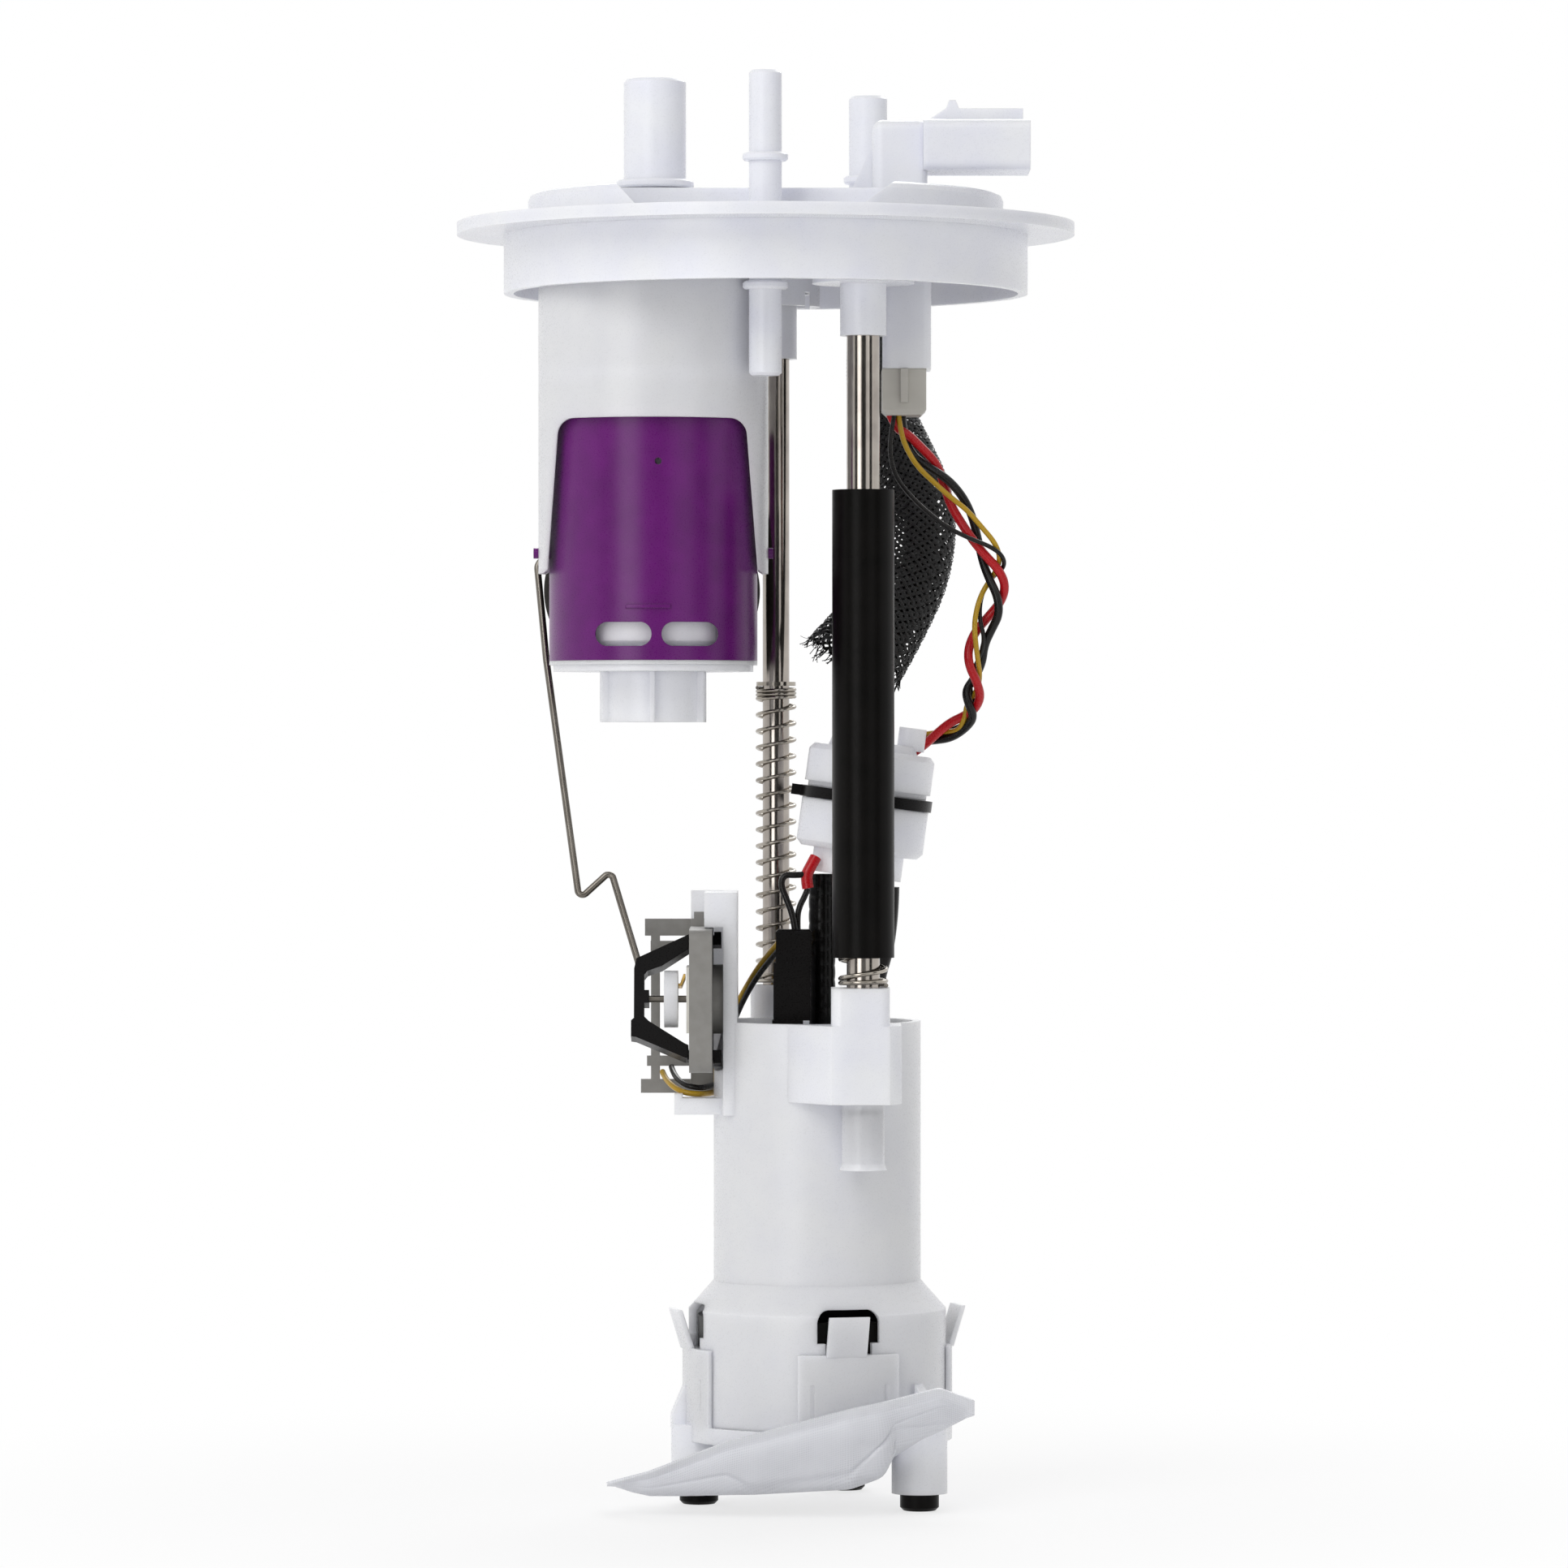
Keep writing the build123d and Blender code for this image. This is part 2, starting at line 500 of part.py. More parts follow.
def make_valve_float():
    """Cup-shaped float with a cone that shuts the vent when fuel lifts it."""
    low = VALVE_BOTTOM + 0.3
    top = -50.0
    r = VALVE_FLOAT_RADIUS - 2.2
    return turned(VENT_AXIS, [(r - 2, low), (r, low), (r, low + 2.4), (VALVE_FLOAT_RADIUS, low + 4.4),
                              (VALVE_FLOAT_RADIUS, top), (5, top), (1.2, top + 7), (0, top + 7), (0, top - 2),
                              (r - 2, top - 2)])


def make_pot():
    """Reservoir body with both rod guides, the snap windows and the sender's wall."""
    r, wall, low_r = POT_RADIUS, POT_WALL, POT_LOW_RADIUS
    pot = turned(POT_AXIS, [(r, POT_RIM), (r, POT_CONE_TOP), (low_r, POT_CONE_END), (low_r, POT_BOTTOM),
                            (low_r - wall, POT_BOTTOM), (low_r - wall, POT_CONE_END - 0.8),
                            (r - wall, POT_CONE_TOP - 0.8), (r - wall, POT_RIM)])
    x, y = FRONT_ROD
    pad = prism_z([(5.3, -24.2), (x - 7.8, y - BOSS_DEPTH), (x + 6.4, y - BOSS_DEPTH), (x + 9.3, y - 4.0),
                   (x + 9.3, -8.0), (5.3, -8.0)], GUIDE_PAD_BOTTOM, POT_RIM)
    boss = block((x - 7.8, x + 6.4), (y - BOSS_DEPTH, y + 7.0), (POT_RIM - 1, GUIDE_TOP))
    boss = fillet(boss.edges().filter_by(Axis.Z), 2.5)
    rear = post(REAR_ROD, SNOUT_BOTTOM, REAR_GUIDE_TOP, REAR_GUIDE_RADIUS)
    rear += block((REAR_ROD[0] - 3, REAR_ROD[0] + 9), (18, REAR_ROD[1]), (GUIDE_PAD_BOTTOM - 8, POT_RIM))
    snout = turned(FRONT_ROD, [(0, GUIDE_PAD_BOTTOM + 1), (SNOUT_RADIUS, GUIDE_PAD_BOTTOM + 1),
                               (SNOUT_RADIUS, SNOUT_BOTTOM + 1.6), (SNOUT_RADIUS + 0.6, SNOUT_BOTTOM),
                               (0, SNOUT_BOTTOM)])
    wall_plate = block((BRACKET_LEFT, BRACKET_RIGHT), (-15.6, 15.6), (BRACKET_BOTTOM, BRACKET_TOP))
    wall_plate += block((HEAD_LEFT, BRACKET_LEFT), (-15.6, 9.6), (PIVOT_Z + HOUSING_HALF + 0.3, BRACKET_TOP))
    rear_wall = block((HOUSING_LEFT, BRACKET_RIGHT), (15.6, 17.6), (BRACKET_BOTTOM, BRACKET_TOP))
    rear_wall -= block((HOUSING_RIGHT - 1.4, BRACKET_LEFT - 0.1), (15, 18), LEAD_NOTCH)
    ledge = block((-22.4, BRACKET_LEFT), (PIVOT_Y - 4, PIVOT_Y + 4), (BRACKET_BOTTOM, BRACKET_BOTTOM + 4))
    ledge += block((-22.4, -20.4), (PIVOT_Y - 4, PIVOT_Y + 4), (BRACKET_BOTTOM, BRACKET_BOTTOM + 5))
    fixings = pad + boss + rear
    fixings -= post(POT_AXIS, POT_BOTTOM, GUIDE_TOP + 5, r - wall)
    pot += fixings
    pot += snout
    pot += wall_plate + rear_wall + ledge
    recess = bar(HOUSING_LEFT - 5, BRACKET_LEFT, PIVOT_Y, PIVOT_Z, HOOK_REACH + 0.7)
    pot -= recess
    for rod, radius in ((FRONT_ROD, FRONT_ROD_RADIUS), (REAR_ROD, REAR_ROD_RADIUS)):
        pot -= post(rod, SNOUT_BOTTOM - 1, GUIDE_TOP + 1, radius + RUNNING_FIT)
        pot -= post(rod, SNOUT_BOTTOM - 1, ROD_END + CLIP_THICK + 0.2, radius + 0.62)
    for angle in TONGUE_ANGLES:
        upper = block((r - 4, low_r + 2), (-WINDOW_WIDTH / 2, WINDOW_WIDTH / 2), (WINDOW_STEP, WINDOW_TOP))
        upper = fillet(upper.edges().filter_by(Axis.X).group_by(Axis.Z)[-1], WINDOW_ROUND)
        lower = block((r, low_r + 2), (-WINDOW_NECK / 2, WINDOW_NECK / 2), (TONGUE_PANEL_TOP, WINDOW_STEP))
        pot -= Pos(POT_AXIS[0], POT_AXIS[1], 0) * Rot(0, 0, angle) * (upper + lower)
    return pot


def make_base_cap():
    """Bottom cap with snap tongues outside the reservoir's wall and sockets for the feet."""
    inner = POT_LOW_RADIUS - POT_WALL - CAP_GAP
    outer = POT_LOW_RADIUS + CAP_GAP + TONGUE_WALL
    floor = POT_BOTTOM - CAP_THICK
    cap = post(POT_AXIS, floor, POT_BOTTOM, outer)
    cap += tube(POT_AXIS, POT_BOTTOM - 1, POT_BOTTOM + 4, inner, inner - 1.6)
    half_angle = math.degrees(TONGUE_PANEL_WIDTH / 2 / outer)
    wall_ring = tube(POT_AXIS, POT_BOTTOM - 1, TONGUE_PANEL_TOP, outer, POT_LOW_RADIUS + CAP_GAP)
    for angle in TONGUE_ANGLES:
        seat = Pos(POT_AXIS[0], POT_AXIS[1], 0) * Rot(0, 0, angle)
        reach = 60.0
        side = reach * math.tan(math.radians(half_angle))
        wedge = seat * prism_z([(0, 0), (reach, -side), (reach, side)], POT_BOTTOM - 2, TONGUE_PANEL_TOP + 1)
        cap += wall_ring & wedge
        low_r = POT_LOW_RADIUS + CAP_GAP
        half = TONGUE_TIP_WIDTH / 2
        tip = prism_y([(low_r, TONGUE_PANEL_TOP - 0.5), (outer, TONGUE_PANEL_TOP - 0.5),
                       (outer + TONGUE_FLARE, TONGUE_TIP_TOP), (outer + TONGUE_FLARE - 1.2, TONGUE_TIP_TOP)],
                      TONGUE_SHIFT - half, TONGUE_SHIFT + half)
        cap += seat * tip
        for edge in (-1, 1):
            middle = edge * (TONGUE_PANEL_WIDTH / 2 - 2.2)
            slot = block((low_r - 0.1, outer + 1), (middle - 2, middle + 2), (-288.3, -280.5))
            cap -= seat * slot
    for x, y in FEET:
        socket = post((x, y), SOCKET_BOTTOM, POT_BOTTOM, SOCKET_RADIUS)
        out = Vector(x - POT_AXIS[0], y - POT_AXIS[1], 0)
        turn = math.degrees(math.atan2(out.Y, out.X))
        far = out.length + SOCKET_RADIUS
        rib = prism_y([(outer - 0.4, POT_BOTTOM - 1), (far, POT_BOTTOM - 1), (far, POT_BOTTOM + 2.6),
                       (outer - 0.4, POT_BOTTOM + 11)], -1.5, 1.5)
        cap += socket + Pos(POT_AXIS[0], POT_AXIS[1], 0) * Rot(0, 0, turn) * rib
    cap -= post(POT_AXIS, POT_BOTTOM, POT_RIM, POT_LOW_RADIUS - POT_WALL + CAP_GAP / 2) - post(
        POT_AXIS, POT_BOTTOM - 1, POT_BOTTOM + 4, inner)
    for foot in FEET:
        cap -= post(foot, SOCKET_BOTTOM - 1, SOCKET_BOTTOM + 6, FOOT_RADIUS + RUNNING_FIT)
    return cap - post(STRAINER_NECK, floor - 1, POT_BOTTOM + 1, STRAINER_NECK_RADIUS + RUNNING_FIT)


def make_feet():
    """Three rubber feet, each with a bevelled tread."""
    feet = []
    for foot in FEET:
        feet.append(turned(foot, [(0, SOCKET_BOTTOM + 6), (FOOT_RADIUS, SOCKET_BOTTOM + 6),
                                  (FOOT_RADIUS, FOOT_BOTTOM + 0.8), (FOOT_RADIUS - 0.8, FOOT_BOTTOM),
                                  (0, FOOT_BOTTOM)]))
    return Compound(children=feet)


def make_strainer():
    """Filter pouch under the base, with its front edge curled up before the cap."""
    flat = STRAINER_TOP
    sections = [(-38.5, (-30, -304.4), (-24, -305.4), (-16, -305.6), 1.2),
                (-28.0, (-38, -300.8), (-33, -304.8), (-17, -305.0), 5.0),
                (-9.0, (-41.5, -293.0), (-38.0, -303.6), (-15, -303.0), 5.4),
                (-3.0, (-42.5, -291.4), (-39.0, -303.4), (0, flat - 1.35), 5.4),
                (20.0, (-44.0, -285.2), (-40.0, -302.0), (0, flat - 1.35), 5.4),
                (27.0, (-43.3, -283.8), (-39.5, -299.8), (-18, flat - 1.35), 5.0),
                (30.0, (-42.8, -283.2), (-38.5, -293.4), (-31, -298.4), 4.6),
                (42.0, (-39.5, -280.4), (-36.0, -289.8), (-31, -290.6), 3.6),
                (50.5, (-35.0, -283.8), (-33.5, -287.0), (-30.5, -287.6), 1.2)]
    faces = []
    for x, front, knee, back, thick in sections:
        half = thick / 2
        outline = Polyline((x, front[0], front[1] + half * 0.5), (x, knee[0] + half, knee[1] + half),
                           (x, back[0], back[1] + half * 0.5), (x, back[0], back[1] - half * 0.5),
                           (x, knee[0] - half, knee[1] - half), (x, front[0] - half, front[1] - half * 0.2),
                           close=True)
        faces.append(make_face(outline))
    return loft(faces, ruled=True)


def make_pump():
    """Pump parts by name: can, end pieces, rotor, magnets and brushes."""
    axis, can = POT_AXIS, CAN_RADIUS
    inner = can - CAN_WALL
    shell = tube(axis, CAN_BOTTOM, CAN_TOP, can, inner)
    inlet = turned(axis, [(SHAFT_RADIUS + RUNNING_FIT, -275.5), (inner, -275.5), (inner, CAN_BOTTOM),
                          (9.0, CAN_BOTTOM), (9.0, -287.5), (SHAFT_RADIUS + RUNNING_FIT, -287.5)])
    inlet -= post(STRAINER_NECK, -300, -274, 3.0)
    plate = turned(axis, [(SHAFT_RADIUS + RUNNING_FIT, -268.5), (inner, -268.5), (inner, -271.5),
                          (SHAFT_RADIUS + RUNNING_FIT, -271.5)])
    plate -= Pos(axis[0], axis[1] + 14.5, -270) * Cylinder(1.6, 8)
    cap = turned(axis, [(SHAFT_RADIUS + RUNNING_FIT, CAN_TOP - 7), (inner, CAN_TOP - 7), (inner, CAN_TOP),
                        (can, CAN_TOP), (can - 2.5, PUMP_CAP_TOP), (0, PUMP_CAP_TOP), (0, CAN_TOP - 3),
                        (SHAFT_RADIUS + RUNNING_FIT, CAN_TOP - 3)])
    cap += post(OUTLET_AXIS, PUMP_CAP_TOP - 1, PUMP_CAP_TOP + OUTLET_BARB, OUTLET_RADIUS)
    cap -= post(OUTLET_AXIS, CAN_TOP - 2.5, PUMP_CAP_TOP + OUTLET_BARB + 1, OUTLET_BORE)
    for side in (-1, 1):
        cap -= Pos(axis[0] + side * 10.5, axis[1], CAN_TOP - 6) * Box(4.2, 5.2, 6)
    cap += block((1.6, 9.2), (-10.6, -3.4), (PUMP_CAP_TOP - 1, POT_RIM + 0.4))
    shaft = post(axis, -281.0, CAN_TOP - 3.6, SHAFT_RADIUS)
    rotor = turned(axis, [(0, -262), (ARMATURE_RADIUS, -262), (ARMATURE_RADIUS, -229), (8.5, -229), (7.6, -225),
                          (7.6, -217.5), (0, -217.5)])
    for i in range(8):
        groove = block((10.4, 14), (-0.9, 0.9), (-263, -228))
        rotor -= Pos(axis[0], axis[1], 0) * Rot(0, 0, i * 45) * groove
    hole = SHAFT_RADIUS + PRESS_FIT
    wheel = turned(axis, [(hole, -275.2), (15.5, -275.2), (15.5, -271.8), (hole, -271.8)])
    for i in range(18):
        notch = block((13.2, 17), (-0.7, 0.7), (-276, -271))
        wheel -= Pos(axis[0], axis[1], 0) * Rot(0, 0, i * 20) * notch
    magnet = tube(axis, -264, -227, inner - 0.05, MAGNET_INNER)
    magnets = []
    for side in (-1, 1):
        keep = block((axis[0] - 30, axis[0] + 30), (4.5, 30) if side > 0 else (-30, -4.5), (-300, -200))
        magnets.append(magnet & keep)
    brushes = [block((axis[0] + side * 10.5 - 1.9, axis[0] + side * 10.5 + 1.9), (-2.4, 2.4),
                     (-217.4, CAN_TOP - 4)) for side in (-1, 1)]
    brushes = [b & tube(axis, -240, -200, 14, 5) for b in brushes]
    brushes = [b + block((axis[0] + s * 6.4 - 2.6, axis[0] + s * 6.4 + 2.6), (-2.4, 2.4), (-217.4, -213.2))
               for b, s in zip(brushes, (-1, 1))]
    isolator = tube(axis, POT_BOTTOM + 4, POT_CONE_END - 1.5, POT_LOW_RADIUS - POT_WALL - 0.3, can + 0.05)
    isolator -= tube(axis, -280, POT_CONE_END, POT_LOW_RADIUS - POT_WALL - 2.7, can + 2.4)
    return {"pump_can": shell, "pump_inlet_cover": inlet, "pump_chamber_plate": plate, "pump_outlet_cap": cap,
            "armature": shaft + rotor, "impeller": wheel, "magnets": Compound(children=magnets),
            "brushes": Compound(children=brushes), "pump_isolator": isolator}


def arm_turn():
    """Lean of the arm about the sender's axis."""
    return Pos(0, PIVOT_Y, PIVOT_Z) * Rot(-LEAN, 0, 0)


def make_sender_housing():
    """Plate with two curved tracks for the carrier's hooks, a hub, and the bars of the card holder."""
    half = HOUSING_HALF
    plate = block((HOUSING_LEFT, HOUSING_RIGHT), (PIVOT_Y - half, PIVOT_Y + half), (PIVOT_Z - half, PIVOT_Z + half))
    plate = fillet(plate.edges().filter_by(Axis.X), 3.0)
    hub = bar(HOUSING_RIGHT, BRACKET_LEFT, PIVOT_Y, PIVOT_Z, 8.5)
    margin = 11.0
    ring = bar(HOUSING_LEFT - 1, HOUSING_RIGHT + 1, 0, 0, TRACK_OUTER) - bar(
        HOUSING_LEFT - 2, HOUSING_RIGHT + 2, 0, 0, TRACK_INNER)
    for start in (90 - LEAN, 270 - LEAN):
        high, low = math.radians(start + margin), math.radians(start - SWING - margin)
        middle = (high + low) / 2
        spread = 40.0
        points = [(0, 0)] + [(spread * math.cos(a), spread * math.sin(a))
                             for a in (low, (low + middle) / 2, middle, (middle + high) / 2, high)]
        outline = Polyline(*[(HOUSING_LEFT - 3, y, z) for y, z in points], close=True)
        sector = extrude(make_face(outline), amount=12, dir=(1, 0, 0))
        plate -= Pos(0, PIVOT_Y, PIVOT_Z) * (ring & sector)
    back = PIVOT_Y + half
    frame = block((-28.5, -26.3), (back + 0.5, back + 3), (-211.7, -168.5))
    frame += block((-30.0, -13.4), (back + 0.5, back + 3), (-172.7, -168.5))
    frame += block((-28.6, -18.0), (back + 0.5, back + 3), (-176.8, -174.0))
    frame += block((-29.5, -18.0), (back + 0.5, back + 3), (-205.0, -202.5))
    frame += block((-31.0, -16.0), (back + 0.5, back + 3), (-211.7, -208.3))
    frame += block((HOUSING_LEFT, HOUSING_RIGHT), (back - 1, back + 3), (-211.7, -168.5))
    frame += block((-17.8, -15.4), (back - 1, back + 3), (-169, -166.8))
    housing = plate + hub + frame
    return housing - bar(HOUSING_LEFT - 1, -15.0, PIVOT_Y, PIVOT_Z, WIRE_RADIUS + RUNNING_FIT)


def wire_route():
    """Centre line of the arm's wire, upright in the arm's own plane."""
    slope = 1 / math.cos(math.radians(LEAN))
    def up(z):
        return (z - PIVOT_Z) * slope
    return [(-15.2, 0, 0), (-31.3, 0, 0), (-31.3, 0, up(-179.0)), (-38.2, 0, up(-156.4)), (-46.0, 0, up(-163.5)),
            (-54.6, 0, up(-104.0)), (-57.2, 0, up(-79.0)), (-48.0, 0, up(-79.0))]


def make_arm_wire(radius):
    """Bent steel wire from the pivot to the float."""
    corners = wire_route()
    bends = [1.6, 1.8, 1.2, 1.2, 30.0, 2.4]
    path = FilletPolyline(*corners, radius=bends)
    start = Plane(origin=path @ 0, z_dir=path % 0)
    return arm_turn() * sweep(start * Circle(radius), path=path)


def float_hole_place():
    """Height and depth at which the wire enters the float."""
    reach = (-79.0 - PIVOT_Z) / math.cos(math.radians(LEAN))
    lean = math.radians(LEAN)
    return PIVOT_Y + reach * math.sin(lean), PIVOT_Z + reach * math.cos(lean)


def make_float():
    """Foam float with round ends, bored for the wire."""
    radius = FLOAT_HEIGHT / 2
    outline = Rot(90, 0, 0) * SlotOverall(FLOAT_RIGHT - FLOAT_LEFT, FLOAT_HEIGHT - 0.02)
    body = extrude(outline, amount=FLOAT_THICK / 2, both=True)
    body = fillet(body.edges().group_by(Axis.Y)[-1] + body.edges().group_by(Axis.Y)[0], 2.0)
    body = Pos((FLOAT_LEFT + FLOAT_RIGHT) / 2, FLOAT_Y, FLOAT_Z) * body
    y, z = float_hole_place()
    return body - bar(FLOAT_LEFT - radius, -20.0, y, z, WIRE_RADIUS + RUNNING_FIT)


def make_float_pin():
    """Straight end of the wire inside the float."""
    y, z = float_hole_place()
    return bar(-48.5, -20.5, y, z, WIRE_RADIUS)


def make_carrier():
    """Black frame that clips the wire and hooks into the housing's tracks."""
    outline = [(-18.9, 15.6), (-31.7, 9.6), (-32.3, 7.0), (-32.3, -5.4), (-33.0, -6.0), (-33.0, -10.0),
               (-31.7, -10.2), (-19.6, -15.4), (-18.9, -15.4), (-18.9, -12.2), (-19.8, -11.8), (-28.6, -6.2),
               (-29.8, -5.0), (-29.8, 5.4), (-29.0, 6.4), (-25.4, 7.7), (-18.9, 12.0)]
    frame = prism_y(outline, -3.2, 3.2)
    frame += block((-30.0, -28.6), (-3.2, 3.2), (-1.6, 1.6))
    reach = (TRACK_INNER + 0.5, TRACK_OUTER - 0.7)
    for side in (-1, 1):
        zs = sorted((side * reach[0], side * reach[1]))
        finger = block((-19.2, HOUSING_RIGHT + 0.3), (-2.0, 2.0), zs)
        hook_zs = sorted((side * reach[0], side * (HOOK_REACH - 0.4)))
        hook = block((HOUSING_RIGHT + 0.3, BRACKET_LEFT - 0.5), (-2.0, 2.0), hook_zs)
        frame += finger + hook
    return arm_turn() * frame - make_arm_wire(WIRE_RADIUS + RUNNING_FIT)


def make_pivot_hub():
    """White disc on the wire's straight end."""
    disc = bar(-24.9, -21.5, PIVOT_Y, PIVOT_Z, HUB_RADIUS)
    return disc - bar(-26, -20, PIVOT_Y, PIVOT_Z, WIRE_RADIUS + PRESS_FIT)


def make_wiper():
    """Leaf contact on the hub that wipes the resistor card."""
    leaf = prism_y([(-21.5, 3.0), (-20.6, 3.0), (-19.7, 5.2), (-19.7, 6.0), (-20.2, 6.0), (-21.0, 3.6),
                    (-21.5, 3.6)], -1.5, 1.5)
    return arm_turn() * leaf


def make_resistor_card():
    """Ceramic card on the housing's face, inside the tracks."""
    half = TRACK_INNER / math.sqrt(2) - CARD_MARGIN
    card = block((HOUSING_LEFT - 0.8, HOUSING_LEFT), (PIVOT_Y - half, PIVOT_Y + half),
                 (PIVOT_Z - half, PIVOT_Z + half))
    return card - bar(HOUSING_LEFT - 2, HOUSING_LEFT + 1, PIVOT_Y, PIVOT_Z, WIRE_RADIUS + 0.6)


def make_pump_connector():
    """Plug on the pump's terminal tower."""
    low = block((1.9, 11.0), (-10.4, -3.6), (POT_RIM + 0.4, -178.7))
    high = block((2.5, 11.3), (-10.0, -4.0), (-178.7, -170.6))
    return low + chamfer(high.edges().group_by(Axis.Z)[-1], 0.6)


def parallel_leads(points, count):
    """Thin leads side by side along one route."""
    leads = []
    for i in range(count):
        shift = i * LEAD_PITCH
        leads.append(swept_tube([(x, y, z + shift) for x, y, z in points], LEAD_RADIUS))
    return leads


def make_regulator():
    """Regulator housing parts by name, turned as they lean."""
    r = REG_RADIUS
    axis = (0, 0)
    upper = turned(axis, [(0, 1.4), (r - 0.9, 1.4), (r - 0.9, 2.6), (r, 2.6), (r, 10.6), (r - 1.2, 12.0), (11.0, 12.0),
                          (10.4, 14.0), (0, 14.0)])
    upper += post((9.2, 0), 13, 18.6, REG_CAP_RADIUS)
    upper += post((-2.6, 1.0), 13, 17.0, 3.2)
    lower = turned(axis, [(0, 1.4), (r - 0.9, 1.4), (r - 0.9, -1.6), (r + 0.1, -1.6), (r + 0.1, -12.0), (r - 1.2, -13.4),
                          (11.2, -13.4), (11.2, -19.4), (0, -19.4)])
    valve = post(axis, -9, 8, 8.6)
    upper -= post(axis, -10, 8, 8.6)
    lower -= post(axis, -9, 9, 8.6)
    tie = tube(axis, -1.5, 1.3, r + 0.75, r - 0.85)
    tie -= tube(axis, 1.25, 3, r + 2, r - 2)
    tie += block((-r - 3.0, -r + 0.2), (-2.6, 2.6), (-1.4, 1.2))
    place = Pos(*REG_CENTRE) * Rot(0, REG_TILT, 0)
    parts = {"regulator_upper_shell": upper, "regulator_lower_shell": lower, "regulator_valve": valve,
             "cable_tie": tie}
    return {name: place * solid for name, solid in parts.items()}


def make_braid():
    """Woven sleeve over the middle of the supply hose."""
    whole = round_path(SUPPLY_ROUTE)
    path = whole.trim(BRAID_START, BRAID_END)
    start = Plane(origin=path @ 0, z_dir=path % 0)
    sleeve = sweep(start * Circle(BRAID_RADIUS), path=path) - sweep(
        start * Circle(BRAID_RADIUS - BRAID_WALL), path=path)
    neck = whole.trim(BRAID_START, BRAID_START + BRAID_NECK)
    grip = sweep(start * Circle(BRAID_RADIUS - BRAID_WALL / 2), path=neck) - sweep(
        start * Circle(HOSE_RADIUS + RUNNING_FIT), path=neck)
    return sleeve + grip


def corrugated(at, low, high, radius, bore, pitch, depth):
    """Straight corrugated hose."""
    count = round((high - low) / pitch)
    step = (high - low) / count
    points = [(bore, low)]
    for i in range(count):
        foot = low + i * step
        points += [(radius - depth, foot), (radius, foot + step * 0.25), (radius, foot + step * 0.6),
                   (radius - depth, foot + step * 0.85)]
    points += [(radius - depth, high), (bore, high)]
    return turned(at, points)


def write(name, solid):
    """One STEP file for each node."""
    export_step(solid, os.path.join("parts", name + ".step"))


